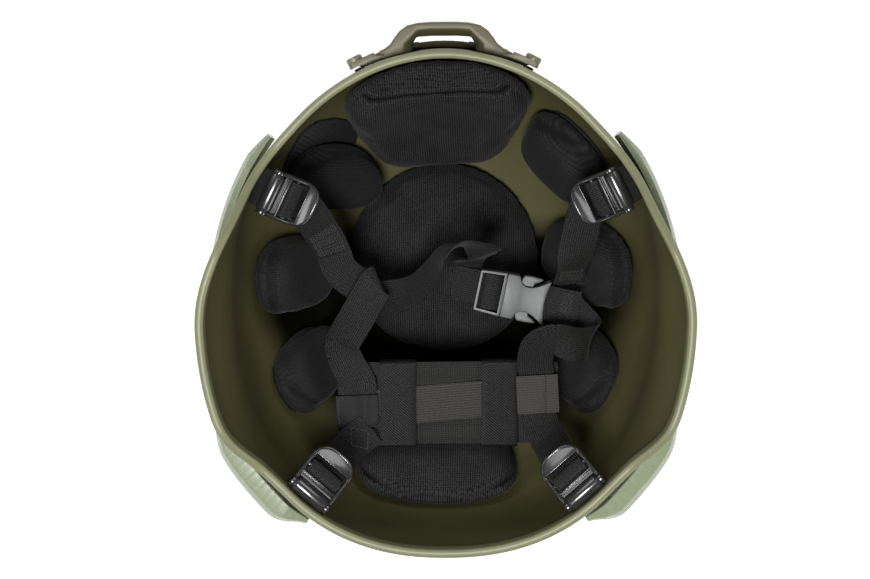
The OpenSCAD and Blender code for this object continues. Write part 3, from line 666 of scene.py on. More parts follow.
def knit_nodes(n: Nodes, i: dict) -> dict:
    """Lays a ribbed knit: lengthwise ribs of small loops, pulled a little out of line.

    Args:
        n: lays the nodes.
        i: the group's inputs by name.

    Returns:
        The group's outputs by name.
    """
    drift = n.times(n.noise(i["UV"], 45.0, 2.0), 0.0018)
    u, v, _ = n.split(i["UV"])
    rib = n.wave(n.math("ADD", u, drift), i["Rib"])
    lean = n.scaled(rib, 0.0003, v)
    loop = n.wave(lean, i["Loop"])
    height = n.scaled(loop, 0.35, n.times(rib, 0.65))
    fleck = n.times(n.noise(i["UV"], 1100.0, 2.0), 0.45)
    tone = n.scaled(n.noise(i["UV"], 60.0, 4.0, 0.6), 0.25, n.scaled(height, 0.32, fleck))
    return {"Height": height, "Tone": tone}


def twill_nodes(n: Nodes, i: dict) -> dict:
    """Lays a diagonal twill: fine slanting ridges broken into short floats.

    Args:
        n: lays the nodes.
        i: the group's inputs by name.

    Returns:
        The group's outputs by name.
    """
    u, v, _ = n.split(i["UV"])
    slant = n.math("ADD", u, n.times(v, 1.15))
    ridge = n.wave(slant, i["Pitch"])
    floats = n.wave(n.math("SUBTRACT", u, v), n.times(i["Pitch"], 0.8))
    height = n.scaled(ridge, 0.8, n.times(floats, 0.2))
    tone = n.scaled(n.noise(i["UV"], 1400.0, 3.0), 0.4, n.times(height, 0.7))
    return {"Height": height, "Tone": tone}


class Effect(Enum):
    """The shader node groups: name, inputs with their start values, outputs, and what lays their nodes."""

    GRIT = ("moulded grit", {"Vector": None, "Scale": 1500.0}, ("Height", "Tone"), grit_nodes)
    WEAR = ("edge wear", {"Vector": None, "Scale": 300.0, "Amount": 1.0}, ("Mask",), wear_nodes)
    LINT = ("cloth lint", {"Vector": None, "Scale": 260.0, "Amount": 1.0}, ("Mask",), lint_nodes)
    WEBBING = ("woven webbing", {"UV": None, "Cord": 0.0019, "Pick": 0.0016, "Slant": 0.9}, ("Height", "Tone"),
               webbing_nodes)
    KNIT = ("ribbed knit", {"UV": None, "Rib": 0.00095, "Loop": 0.0007}, ("Height", "Tone"), knit_nodes)
    TWILL = ("diagonal twill", {"UV": None, "Pitch": 0.001}, ("Height", "Tone"), twill_nodes)

    def tree(self) -> bpy.types.NodeTree:
        """Gives the group, made on its first use.

        Returns:
            The group.
        """
        name, inputs, outputs, fill = self.value
        found = bpy.data.node_groups.get(name)
        if found:
            return found
        tree = bpy.data.node_groups.new(name, "ShaderNodeTree")
        for key, start in inputs.items():
            kind = "NodeSocketVector" if start is None else "NodeSocketFloat"
            socket = tree.interface.new_socket(name=key, in_out="INPUT", socket_type=kind)
            if start is not None:
                socket.default_value = start
        for key in outputs:
            tree.interface.new_socket(name=key, in_out="OUTPUT", socket_type="NodeSocketFloat")
        source, sink = tree.nodes.new("NodeGroupInput"), tree.nodes.new("NodeGroupOutput")
        for key, socket in fill(Nodes(tree), {key: source.outputs[key] for key in inputs}).items():
            tree.links.new(socket, sink.inputs[key])
        return tree

    def put(self, n: Nodes, **inputs: object) -> dict[str, Socket]:
        """Places the group in a material with its own values and gives its outputs by name."""
        return dict(n.add("Group", {"node_tree": self.tree()}, **inputs).outputs.items())


# Finishes


@dataclass(frozen=True)
class Finish:
    """A surface's colour and gloss, and the material made from them once."""

    name: str
    color: Triple
    dark: Triple
    roughness: float = 0.6

    def material(self) -> bpy.types.Material:
        """Gives the material, made on its first use.

        Returns:
            The material.
        """
        found = bpy.data.materials.get(self.name)
        if found:
            return found
        mat = bpy.data.materials.new(self.name)
        mat.use_nodes = True
        mat.diffuse_color = (*self.color, 1.0)
        self.lay(Nodes(mat.node_tree), mat.node_tree.nodes["Principled BSDF"])
        return mat

    def lay(self, n: Nodes, shader: bpy.types.Node) -> None:
        """Lays the finish's own nodes."""
        raise NotImplementedError


@dataclass(frozen=True)
class Moulded(Finish):
    """Paint, polymer, rubber or metal with a grit, a slow tone change and worn edges."""

    grit: float = 1500.0
    relief: float = 0.1
    wear: float = 0.4
    worn: Triple = (0.3, 0.3, 0.24)
    coat: float = 0.0
    metallic: float = 0.0

    def lay(self, n: Nodes, shader: bpy.types.Node) -> None:
        """Lays grit, tone and wear into the shader.

        Args:
            n: lays the nodes.
            shader: the material's shader.
        """
        where = n.add("TexCoord").outputs["Object"]
        grit = Effect.GRIT.put(n, Vector=where, Scale=self.grit)
        wear = Effect.WEAR.put(n, Vector=where, Scale=260.0, Amount=self.wear)
        body = n.mix(grit["Tone"], self.dark, self.color)
        n.fill(shader, Base_Color=n.mix(wear["Mask"], body, self.worn),
               Roughness=n.scaled(grit["Height"], 0.06, self.roughness - 0.03),
               Normal=n.bump(grit["Height"], 0.6, self.relief), Coat_Weight=self.coat, Coat_Roughness=0.12,
               Metallic=self.metallic)


@dataclass(frozen=True)
class PaintedShade(Moulded):
    """Moulded paint with painted shade: a near-black colour laid where the piece's own attribute says."""

    # Colour of the painted shade.
    shade_color: Triple = (0.003, 0.003, 0.002)

    def lay(self, n: Nodes, shader: bpy.types.Node) -> None:
        """Lays the paint, then the painted shade over it, which also lowers the specular level.

        Args:
            n: lays the nodes.
            shader: the material's shader.
        """
        super().lay(n, shader)
        # Painted shade: the piece's attribute darkens the paint to near black, broken up a little by noise.
        marks = n.add("Attribute", {"attribute_name": "painted_shade"}).outputs["Fac"]
        where = n.add("TexCoord").outputs["Object"]
        patchy = n.times(marks, n.scaled(n.noise(where, 30.0, 3.0), 0.3, 0.85))
        below = shader.inputs["Base Color"].links[0].from_socket
        n.fill(shader, Base_Color=n.mix(patchy, below, self.shade_color),
               Specular_IOR_Level=n.scaled(patchy, -0.4, 0.4))


@dataclass(frozen=True)
class Webbing(Finish):
    """Woven tape that follows its own UV map, in metres across and along."""

    cord: float = 1.9
    pick: float = 1.6
    slant: float = 0.9
    relief: float = 0.35
    sheen: float = 0.06

    def lay(self, n: Nodes, shader: bpy.types.Node) -> None:
        """Lays the weave, a pale thread on its ridges, and lint.

        Args:
            n: lays the nodes.
            shader: the material's shader.
        """
        uv = n.add("UVMap", {"uv_map": "UVMap"}).outputs[0]
        where = n.add("TexCoord").outputs["Object"]
        weave = Effect.WEBBING.put(n, UV=uv, Cord=self.cord / 1000, Pick=self.pick / 1000, Slant=self.slant)
        lint = Effect.LINT.put(n, Vector=where, Scale=420.0, Amount=0.5)
        body = n.mix(n.steps(weave["Tone"], 0.32, 0.82), self.dark, self.color)
        pale = tuple(min(1.0, 4 * c + 0.02) for c in self.color)
        n.fill(shader, Base_Color=n.mix(lint["Mask"], body, pale),
               Roughness=n.scaled(weave["Height"], -0.15, self.roughness + 0.1),
               Normal=n.bump(weave["Height"], 0.8, self.relief), Specular_IOR_Level=0.12, Sheen_Weight=self.sheen,
               Sheen_Roughness=0.4)


@dataclass(frozen=True)
class Twill(Finish):
    """Elastic in a fine diagonal twill, from the piece's own UV map."""

    pitch: float = 1.75
    relief: float = 0.22

    def lay(self, n: Nodes, shader: bpy.types.Node) -> None:
        """Lays the twill's ridges, pale over dark.

        Args:
            n: lays the nodes.
            shader: the material's shader.
        """
        uv = n.add("UVMap", {"uv_map": "UVMap"}).outputs[0]
        twill = Effect.TWILL.put(n, UV=uv, Pitch=self.pitch / 1000)
        n.fill(shader, Base_Color=n.mix(n.steps(twill["Tone"], 0.38, 0.8), self.dark, self.color),
               Roughness=n.scaled(twill["Height"], -0.15, self.roughness),
               Normal=n.bump(twill["Height"], 0.8, self.relief), Specular_IOR_Level=0.15)


@dataclass(frozen=True)
class Knit(Finish):
    """Ribbed knit over foam, with sewn seams from the piece's own attributes."""

    rib: float = 1.25
    loop: float = 1.0
    relief: float = 0.28

    def lay(self, n: Nodes, shader: bpy.types.Node) -> None:
        """Lays the knit, the seams' grooves and stitches, and lint.

        Args:
            n: lays the nodes.
            shader: the material's shader.
        """
        uv = n.add("UVMap", {"uv_map": "UVMap"}).outputs[0]
        where = n.add("TexCoord").outputs["Object"]
        knit = Effect.KNIT.put(n, UV=uv, Rib=self.rib / 1000, Loop=self.loop / 1000)
        lint = Effect.LINT.put(n, Vector=where, Scale=300.0, Amount=0.35)
        gap = n.math("ABSOLUTE", n.add("Attribute", {"attribute_name": "seam"}).outputs["Fac"])
        along = n.add("Attribute", {"attribute_name": "along"}).outputs["Fac"]
        groove = n.steps(gap, 0.0, 0.0011)
        beside = n.steps(n.math("ABSOLUTE", n.math("SUBTRACT", gap, 0.0018)), 0.0004, 0.0002)
        stitch = n.times(beside, n.steps(n.wave(along, 0.0032), 0.35, 0.55))
        height = n.math("ADD", n.times(knit["Height"], groove),
                        n.scaled(groove, 0.9, n.times(stitch, 0.3)))
        body = n.mix(n.steps(knit["Tone"], 0.32, 0.72), self.dark, self.color)
        sewn = n.mix(n.times(stitch, 0.25), body, tuple(1.8 * c for c in self.color))
        shaded = n.mix(groove, self.dark, sewn)
        pale = tuple(min(1.0, 5 * c + 0.03) for c in self.color)
        n.fill(shader, Base_Color=n.mix(lint["Mask"], shaded, pale),
               Roughness=n.scaled(knit["Height"], -0.1, self.roughness),
               Normal=n.bump(height, 0.9, self.relief), Specular_IOR_Level=0.1, Sheen_Weight=0.05,
               Sheen_Roughness=0.45)


# The shell's paint, with painted shade on the bowl's floor.
SHELL_PAINT = PaintedShade("shell paint", (0.092, 0.087, 0.036), (0.080, 0.075, 0.030), 0.46, relief=0.05,
                     wear=0.0)
EDGING_RUBBER = Moulded("edging rubber", (0.195, 0.200, 0.108), (0.170, 0.175, 0.094), 0.42, grit=1800.0,
                        relief=0.02, wear=0.0)
BRACKET_POLYMER = Moulded("bracket polymer", (0.106, 0.090, 0.042), (0.094, 0.080, 0.037), 0.46, grit=2200.0,
                          relief=0.02, wear=0.25, worn=(0.24, 0.22, 0.14))
BRACKET_STEEL = Moulded("painted screw steel", (0.12, 0.108, 0.066), (0.105, 0.094, 0.057), 0.4, wear=0.6,
                        worn=(0.40, 0.39, 0.34), relief=0.02)
NUT_STEEL = Moulded("blackened steel", (0.03, 0.03, 0.03), (0.022, 0.022, 0.022), 0.35, wear=0.6,
                    worn=(0.25, 0.25, 0.25), relief=0.02, metallic=0.6)
RAIL_POLYMER = Moulded("rail polymer", (0.235, 0.272, 0.168), (0.215, 0.250, 0.152), 0.26, grit=2400.0,
                       relief=0.012, wear=0.2, worn=(0.42, 0.44, 0.36), coat=0.6)
SPACER_RUBBER = Moulded("spacer rubber", (0.022, 0.022, 0.022), (0.014, 0.014, 0.014), 0.7, wear=0.0)
LOCK_ACETAL = Moulded("lock acetal", (0.022, 0.022, 0.023), (0.020, 0.020, 0.021), 0.24, grit=900.0,
                      relief=0.002, wear=0.0, coat=0.8)
TAB_ACETAL = Moulded("anchor tab acetal", (0.020, 0.020, 0.021), (0.018, 0.018, 0.019), 0.24, grit=900.0,
                     relief=0.002, wear=0.0, coat=0.7)
BUCKLE_ACETAL = Moulded("buckle acetal", (0.077, 0.081, 0.080), (0.068, 0.072, 0.071), 0.42, grit=2500.0,
                        relief=0.01, wear=0.25, worn=(0.3, 0.3, 0.3))
HOOK_TAPE = Webbing("hook tape", (0.014, 0.014, 0.014), (0.006, 0.006, 0.006), 0.8, cord=1.2, pick=1.2,
                    relief=0.5)
PAD_KNIT = Knit("pad knit", (0.0400, 0.0380, 0.0390), (0.0040, 0.0038, 0.0040), 0.85)
SIDE_KNIT = Knit("small pad knit", (0.0245, 0.0233, 0.0240), (0.0100, 0.0096, 0.0100), 0.85, relief=0.12)
BAND_CLOTH = Webbing("band cloth", (0.036, 0.035, 0.034), (0.014, 0.014, 0.014), 0.75, cord=1.3, pick=1.2,
                     slant=0.0, relief=0.2)
STRAP_WEBBING = Webbing("strap webbing", (0.0345, 0.0333, 0.0331), (0.0022, 0.0021, 0.0021), 0.6, cord=1.2,
                        pick=1.25, relief=0.2)
MID_WEBBING = Webbing("pale band webbing", (0.062, 0.060, 0.058), (0.026, 0.025, 0.025), 0.6, cord=1.4, pick=1.4,
                      relief=0.2)
FLAP_CLOTH = Webbing("flap cloth", (0.013, 0.012, 0.012), (0.006, 0.0055, 0.0055), 0.5, cord=0.6, pick=0.6,
                     relief=0.03)
ELASTIC = Twill("twill elastic", (0.023, 0.023, 0.023), (0.0004, 0.0004, 0.0004), 0.5)
PATCH_WEBBING = Webbing("pale patch webbing", (0.062, 0.060, 0.058), (0.034, 0.033, 0.032), 0.6, cord=1.4,
                        pick=1.2, relief=0.15)
THREAD = Webbing("sewing thread", (0.11, 0.108, 0.105), (0.05, 0.05, 0.05), 0.55, cord=0.6, pick=0.6,
                 relief=0.1)


# Hard pieces


@dataclass
class Shell:
    """The moulded bowl and the rubber edging over its rim."""

    bowl: Bowl = TrimmedBowl()
    steps_round: int = 200
    crown_steps: int = 30
    ear_steps: int = 14
    edging_leg: float = 7.0
    edging_t: float = 0.75
    # Where shade is painted on the inner floor: reach in plan and depth towards the brow, each with its fade.
    shade_r: Pair = (112.0, 16.0)
    shade_y: Pair = (34.0, 22.0)

    def azimuths(self) -> list[float]:
        """Gives the azimuths of the columns."""
        return [360 * i / self.steps_round for i in range(self.steps_round)]

    def heights(self, az: float) -> list[float]:
        """Gives the heights of one column's points, from the crown to the rim.

        Args:
            az: azimuth.

        Returns:
            The heights.
        """
        low = [self.bowl.depth * (1 - math.cos(math.radians(90 * i / self.crown_steps)) ** (2 / self.bowl.crown))
               for i in range(1, self.crown_steps)]
        top = self.bowl.rim_h(az)
        high = [self.bowl.depth + (top - self.bowl.depth) * i / self.ear_steps for i in range(self.ear_steps + 1)]
        return low + high

    def wall(self) -> Piece:
        """Builds the bowl's outer and inner skins as one closed wall, with painted shade on the inner floor.

        Returns:
            The wall.
        """
        around = self.azimuths()
        columns = [self.heights(az) for az in around]
        count = len(columns[0])
        rows = [[self.bowl.point(az, h[k], 0) for az, h in zip(around, columns)] for k in range(count)]
        rows += [[self.bowl.on_wall(p, self.bowl.wall) for p in row] for row in reversed(rows)]
        obj = closed_loft("shell_wall", rows, tips=((0, 0, 0), (0, 0, self.bowl.wall)))
        # Painted shade on the inner skin, inside the ring of pads and behind the brow, where the deep bowl lies in
        # shade.
        marks = obj.data.attributes.new("painted_shade", "FLOAT", "POINT")
        for i, v in enumerate(obj.data.vertices):
            x, y, z = v.co.x * 1000, v.co.y * 1000 - BOWL_Y, v.co.z * 1000
            inside = 1.0 if self.bowl.share((x, y, z), self.bowl.wall / 2) < 1 else 0.0
            near = (soft((self.shade_r[0] - math.hypot(x, y * 1.05)) / self.shade_r[1])
                    * soft((self.shade_y[0] - y) / self.shade_y[1]))
            marks.data[i].value = inside * near
        smooth(obj, 60)
        return obj

    def profile(self) -> list[Pair]:
        """Gives the edging's section: depth inside the outer face, and height over the rim.

        Returns:
            The section's points.
        """
        t, w, leg = self.edging_t, self.bowl.wall, self.edging_leg
        crown = [(w / 2 + (w / 2 + t) * c, 0.3 + 1.5 * s) for c, s in (turned(a) for a in range(10, 171, 16))]
        inner = [(w + t, -leg + 0.5), (w + t + 0.12, -leg * 0.6), (w + t, -leg * 0.25)]
        outer = [(-t, -leg * 0.25), (-t - 0.05, -leg * 0.6), (-t, -leg + 0.5)]
        lip = [(-t + 0.4, -leg), (-0.08, -leg), (-0.08, 0.1), (w + 0.08, 0.1), (w + 0.08, -leg), (w + t - 0.4, -leg)]
        return inner + crown + outer + lip

    def edging(self) -> Piece:
        """Builds the edging as a ring of sections.

        Returns:
            The edging.
        """
        rows = []
        for az in self.azimuths():
            top, (c, s) = self.bowl.rim_h(az), turned(az)
            reach = [(self.bowl.radius(az, top + min(0, z), d), top + z) for d, z in self.profile()]
            rows.append([(r * c, r * s, h) for r, h in reach])
        obj = closed_loft("edging_strip", rows, ring=True)
        smooth(obj, 55)
        return obj

    def build(self) -> None:
        """Builds and dresses the wall and the edging."""
        dress(self.wall(), SHELL_PAINT, ROOT, ["shell"])
        dress(self.edging(), EDGING_RUBBER, ROOT, ["rim_edging"])


@dataclass
class Bracket:
    """The front bracket with its bar, and its screws and nuts."""

    low: float = 101.0
    high: float = 114.0
    screw_az: float = 20.6
    head_r: float = 4.3
    head_h: float = 3.4
    head_seat: float = 2.4
    wing_h: float = 100.0
    cuts: tuple[Pair, ...] = ((37.0, 101.6), (21.6, 93.0))
    cut_y: Pair = (126.0, 150.0)
    cut_top: float = 140.0
    outer: tuple[Pair, ...] = ((46, 120.6), (42, 122.9), (37.2, 125.9), (31.5, 129), (28.3, 131.5), (26.3, 134.6),
                               (23.5, 138.3), (19.3, 141.2), (13.8, 142.5), (7, 143))
    slot: tuple[Pair, ...] = ((7, 135.2), (14.6, 134.7), (16.6, 130.4))
    slope: tuple[Pair, ...] = ((7, 139.2), (13.6, 138.7), (20.6, 131.6))

    def wall_y(self, x: float) -> float:
        """Gives the depth of the wall's outer face beside the centre line."""
        return (BOWL.front - 2) * (1 - (abs(x) / BOWL.half_w) ** BOWL.front_round) ** (1 / BOWL.front_round)

    def outline(self, inner: Sequence[Pair]) -> list[Pair]:
        """Gives the arch from above.

        Args:
            inner: the slot's outline from the centre to the wall, on one side.

        Returns:
            The arch's points, anticlockwise.
        """
        wall = [(x, self.wall_y(x)) for x in (inner[-1][0], 24.0, 30.0, 36.0, 42.0)]
        right = list(self.outer) + [(0, 143)]
        left = [(-x, y) for x, y in reversed(self.outer)]
        slot = [(-x, y) for x, y in reversed(inner)] + list(inner)
        return right + left + [(-x, y) for x, y in reversed(wall)] + slot + wall

    def arch(self) -> Piece:
        """Builds the bar with its shoulders, its inner edges sloped away from the slot.

        Returns:
            The bar.
        """
        ring = self.outline(self.slot)
        top = self.outline(self.slope)
        obj = outline_solid("bracket_arch", ring, self.low, self.high)
        for v in obj.data.vertices:
            if v.co.z > (self.high - 1) / 1000:
                near = min(zip(ring, top), key=lambda pair: math.dist(pair[0], (1000 * v.co.x, 1000 * v.co.y)))
                v.co.x, v.co.y = near[1][0] / 1000, near[1][1] / 1000
        round_edges(obj, 1.1, 4, 28)
        return moved(obj, Matrix.Translation(place((0, 0, 0))))

    def heads(self) -> list[Piece]:
        """Builds the raised heads of the two wing screws.

        Returns:
            The two heads.
        """
        parts = []
        for az in (90 - self.screw_az, 90 + self.screw_az):
            part = cylinder(self.head_r, self.head_h, 36)
            lift = Matrix.Translation((0, 0, (self.head_seat + self.head_h / 2) / 1000))
            moved(part, BOWL.bolt_frame(az, self.high) @ lift)
            round_edges(part, 1.1, 4)
            parts.append(part)
        return parts

    def build(self) -> None:
        """Rounds the bracket and its fasteners, and dresses them."""
        plate = merged_copy("front_bracket", "bracket_moulding")
        near, far = self.cut_y
        for half, low in self.cuts:
            box = [(-half, near), (half, near), (half, far), (-half, far)]
            cutter = outline_solid("bar_cutter", box, low, self.cut_top)
            cut_away(plate, moved(cutter, Matrix.Translation(place((0, 0, 0)))))
        round_edges(plate, 0.5, 2, 35)
        plate = joined("bracket_moulding", [plate, self.arch()])
        dress(plate, BRACKET_POLYMER, ROOT, ["front_bracket"])
        heads = merged_copy("bracket_screws", "bracket_screw_set")
        select_only(heads)
        for v in heads.data.vertices:
            v.select = v.co.z > self.wing_h / 1000
        bpy.ops.object.mode_set(mode="EDIT")
        bpy.ops.mesh.select_mode(type="VERT")
        bpy.ops.mesh.delete(type="VERT")
        bpy.ops.object.mode_set(mode="OBJECT")
        round_edges(heads, 0.35)
        heads = joined("bracket_screw_set", [heads] + self.heads())
        dress(heads, BRACKET_STEEL, ROOT, ["bracket_screws"])
        nuts = merged_copy("bracket_nuts", "bracket_nut_set")
        round_edges(nuts, 0.25)
        dress(nuts, NUT_STEEL, ROOT, ["bracket_nuts"])


class Side(Enum):
    """The wearer's two sides as the picture shows them."""

    LEFT = -1
    RIGHT = 1


@dataclass
class Rails:
    """The grooved side rails with their spacers, bolts and the tabs inside the wall."""

    front_az: float = 42.0
    rear_az: float = -58.0
    height: float = 27.0
    thick: float = 7.5
    block: float = 6.5
    standoff: float = 4.0
    seat: float = 0.3
    groove_w: float = 9.4
    groove_deep: float = 3.0
    gap: float = 1.7
    steps: int = 150
    bolts: tuple[Pair, ...] = ((31.0, 105.0), (-54.0, 131.0))
    sink_r: float = 4.5
    sink_seat: float = 3.95
    roller_r: float = 4.2
    roller_l: float = 18.6
    roller_in: float = 0.5

    def mid_h(self, e: float) -> float:
        """Gives the height of the rail's middle, on the line through its bolts."""
        (front, low), (rear, high) = self.bolts
        return high + (low - high) * (e - rear) / (front - rear)

    def lift(self, e: float) -> float:
        """Gives the gap between rail and wall."""
        return self.seat + self.standoff * soft((-e - 12) / 26)

    def size(self, e: float) -> Triple:
        """Gives the share of the end taper, the thickness and half the height."""
        k = min(1.0, 0.45 + (self.front_az - e) / 16, 0.55 + (e - self.rear_az) / 12)
        t = self.thick + self.block * soft((-e - 22) / 14) * soft((e + 58) / 8)
        return k, t * min(1.0, k + 0.15), self.height / 2 * k

    def at(self, e: float, x: float, z: float) -> Triple:
        """Gives a point of the rail's section, x out from the wall and z up from its middle."""
        h, (c, s) = self.mid_h(e) + z, turned(e)
        r = BOWL.radius(e, h, 0) + self.lift(e) + x
        return r * c, r * s, h

    def section(self, e: float) -> list[Pair]:
        """Gives the section's outline at one angle, with a lip beside the groove and fine ribs on the block.

        Args:
            e: angle ahead of the ears.

        Returns:
            The outline's points.
        """
        k, t, h = self.size(e)
        g, deep = self.groove_w / 2 * k, self.groove_deep * soft((k - 0.6) / 0.3)
        rib = 0.22 * soft((-e - 24) / 4) * soft((e + 56) / 3) * (0.5 + 0.5 * math.sin(math.radians(e) * 330))
        top = [(0, h * 0.2), (1.2, h * 0.3), (self.gap, h * 0.4), (self.gap + 0.1, h - 0.5), (self.gap + 0.5, h - rib),
               (t * 0.66, h - rib), (t * 0.74, h - 0.25), (t - 0.4, h * 0.74),
               (t, h * 0.68), (t, g + 1.0), (t - 0.35, g + 0.35)]
        lip = [(t - deep * 0.5, g), (t - deep, g + 0.5 * min(1, deep)), (t - deep, g * 0.3)]
        half = top + lip
        back = [(0, h * 0.1), (0, 0.0), (0, -h * 0.1)]
        return back[::-1] + half + [(x, -z) for x, z in reversed(half)]

    def moulding(self, side: Side) -> Piece:
        """Builds one rail.

        Args:
            side: which side it is on.

        Returns:
            The rail.
        """
        angles = [self.rear_az + (self.front_az - self.rear_az) * i / self.steps for i in range(self.steps + 1)]
        flip = side.value
        rows = [[(flip * p[0], p[1], p[2]) for p in (self.at(e, x, z) for x, z in self.section(e))] for e in angles]
        tips = tuple((flip * p[0], p[1], p[2]) for p in (self.at(angles[0], 1.5, 0), self.at(angles[-1], 1.5, 0)))
        return closed_loft("rail_moulding_" + side.name.lower(), rows, tips=tips)

    def build(self) -> None:
        """Builds and dresses the rails and what bolts them on."""
        for side in Side:
            rail = self.moulding(side)
            for sink in self.recesses(side):
                cut_away(rail, sink)
            smooth(rail, 32)
            dress(rail, RAIL_POLYMER, ROOT, ["rail_" + side.name.lower()])
        for node, finish, slot, bevel in (("rail_spacers", SPACER_RUBBER, "spacer_rubber", 0.3),
                                          ("anchor_bolts", NUT_STEEL, "black_bolts", 0.35),
                                          ("anchor_nuts", NUT_STEEL, "dark_nuts", 0.25)):
            part = merged_copy(node, node + "_set")
            round_edges(part, bevel)
            dress(part, finish, ROOT, [node])
        lie = Matrix.Translation((0, self.roller_in / 1000, 0)) @ Matrix.Rotation(math.pi / 2, 4, "Y")
        for anchor in ANCHORS:
            tab = merged_copy("anchor_tab_" + anchor.key, "anchor_strap_" + anchor.key)
            round_edges(tab, 0.4)
            roller = moved(cylinder(self.roller_r, self.roller_l, 48), anchor.lock_frame() @ lie)
            round_edges(roller, 0.5, 3)
            tab = joined("anchor_strap_" + anchor.key, [tab, roller])
            dress(tab, TAB_ACETAL, ROOT, ["anchor_tab_" + anchor.key])

    def recesses(self, side: Side) -> list[Piece]:
        """Builds the round cutters of the bolt heads' recesses on one side.

        Args:
            side: which side.

        Returns:
            The cutters.
        """
        cutters = []
        length = 20.0
        for e, h in self.bolts:
            az = e if side is Side.RIGHT else 180 - e
            up = Matrix.Translation((0, 0, (self.lift(e) + self.sink_seat + length / 2) / 1000))
            cutters.append(moved(cylinder(self.sink_r, length, 40), BOWL.bolt_frame(az, h) @ up))
        return cutters


@dataclass
class LadderLock:
    """A ladder lock: a bent round frame with its eyes, a thin bar, a round bar and a pull tab."""

    half: float = 11.4
    length: float = 28.0
    pin_r: float = 2.0
    bar_r: float = 1.35
    eye_r: float = 3.1
    eye_w: float = 2.2
    rail_w: float = 1.25
    rail_h: float = 1.75
    thin_bar: float = 7.6
    round_bar: float = 12.8
    bend_at: float = 17.6
    tab_start: float = 19.2

    def line(self, y: float) -> float:
        """Gives the height of the frame's S line."""
        return 1.6 * math.sin(math.pi * y / self.length) - 0.6 + 3.2 * soft((y - 16.6) / 10)

    def edge(self, turn: float, shrink: float) -> Pair:
        """Gives a point of the frame's round end.

        Args:
            turn: angle, 0 on the right side and 180 on the left.
            shrink: how far in from the frame's middle line.

        Returns:
            The point across and along.
        """
        c, s = turned(turn)
        reach = self.length - self.rail_w - self.bend_at - shrink
        return (self.half - shrink) * signed_pow(c, 0.72), self.bend_at + reach * signed_pow(s, 0.86)

    def rim(self) -> Piece:
        """Builds the frame's round rod, from one eye round the tab to the other.

        Returns:
            The rod.
        """
        side = [(self.half - 0.5 * soft((6 - y) / 6), y) for y in (-1.4, 0, 3, 6, 9, 12, 15)]
        bend = [self.edge(180 * k / 24, 0) for k in range(25)]
        flat = side + bend + [(-x, y) for x, y in reversed(side)]
        path = [Vector((x, y, self.line(max(0, y)))) for x, y in flat]
        rows = []
        for i, p in enumerate(path):
            run = (path[min(len(path) - 1, i + 1)] - path[max(0, i - 1)]).normalized()
            out = run.cross(Vector((0, 0, 1))).normalized()
            up = out.cross(run)
            turns = [turned(a) for a in range(0, 360, 24)]
            rows.append([p + out * self.rail_w * c + up * self.rail_h * s for c, s in turns])
        rod = closed_loft("lock_rim", rows, own=True)
        smooth(rod, 60)
        return rod

    def rod(self, radius: float, length: float, at: Point) -> Piece:
        """Builds a round rod across the lock.

        Args:
            radius: its radius.
            length: its length.
            at: its middle.

        Returns:
            The rod.
        """
        lie = Matrix.Translation(Vector(at) / 1000) @ Matrix.Rotation(math.pi / 2, 4, "Y")
        part = moved(cylinder(radius, length, 32), lie)
        round_edges(part, 0.4, 3)
        return part

    def bars(self) -> list[Piece]:
        """Builds the hinge pin with its eyes, the round bar and the thin bar.

        Returns:
            The bars and eyes.
        """
        full = 2 * self.half
        parts = [self.rod(self.pin_r, full, (0, 0, 0)),
                 self.rod(self.bar_r, full, (0, self.round_bar, self.line(self.round_bar)))]
        parts += [self.rod(self.eye_r, self.eye_w, (x, 0, 0)) for x in (-self.half, self.half)]
        web = [(-self.half, 5.4), (self.half, 5.4), (self.half, 8.1), (-self.half, 8.1)]
        parts.append(outline_solid("lock_web", web, self.line(6) - 1.5, self.line(6) - 0.4))
        y, z = self.thin_bar, self.line(self.thin_bar) + 0.5
        outline = [(y - 0.7, z - 1.2), (y + 0.7, z - 1.2), (y + 0.6, z + 1.0), (y - 0.6, z + 1.0)]
        bar = outline_solid("lock_bar", outline, -self.half, self.half)
        moved(bar, Matrix(((0, 0, 1, 0), (1, 0, 0, 0), (0, 1, 0, 0), (0, 0, 0, 1))))
        round_edges(bar, 0.35, 3)
        return parts + [bar]

    def tab(self) -> Piece:
        """Builds the pull tab inside the frame's round end.

        Returns:
            The tab.
        """
        turns = [t for t in range(0, 181, 6) if self.edge(t, 0.5)[1] > self.tab_start + 0.3]
        arc = [self.edge(t, 0.1) for t in turns]
        outline = [(arc[-1][0], self.tab_start), (arc[0][0], self.tab_start)] + arc
        z = self.line(24)
        plate = outline_solid("lock_tab", outline, z - 1.2, z + 1.25)
        round_edges(plate, 0.35, 3, 50)
        return plate

    def build(self) -> None:
        """Builds one lock, then copies it to the four anchors."""
        pattern = joined("lock_pattern", [self.rim()] + self.bars() + [self.tab()])
        for anchor in ANCHORS:
            lock = copied(pattern, "lock_" + anchor.key + "_moulding", anchor.lock_frame())
            dress(lock, LOCK_ACETAL, "lock_" + anchor.key, ["ladder_lock_" + anchor.key])
        discard(pattern)


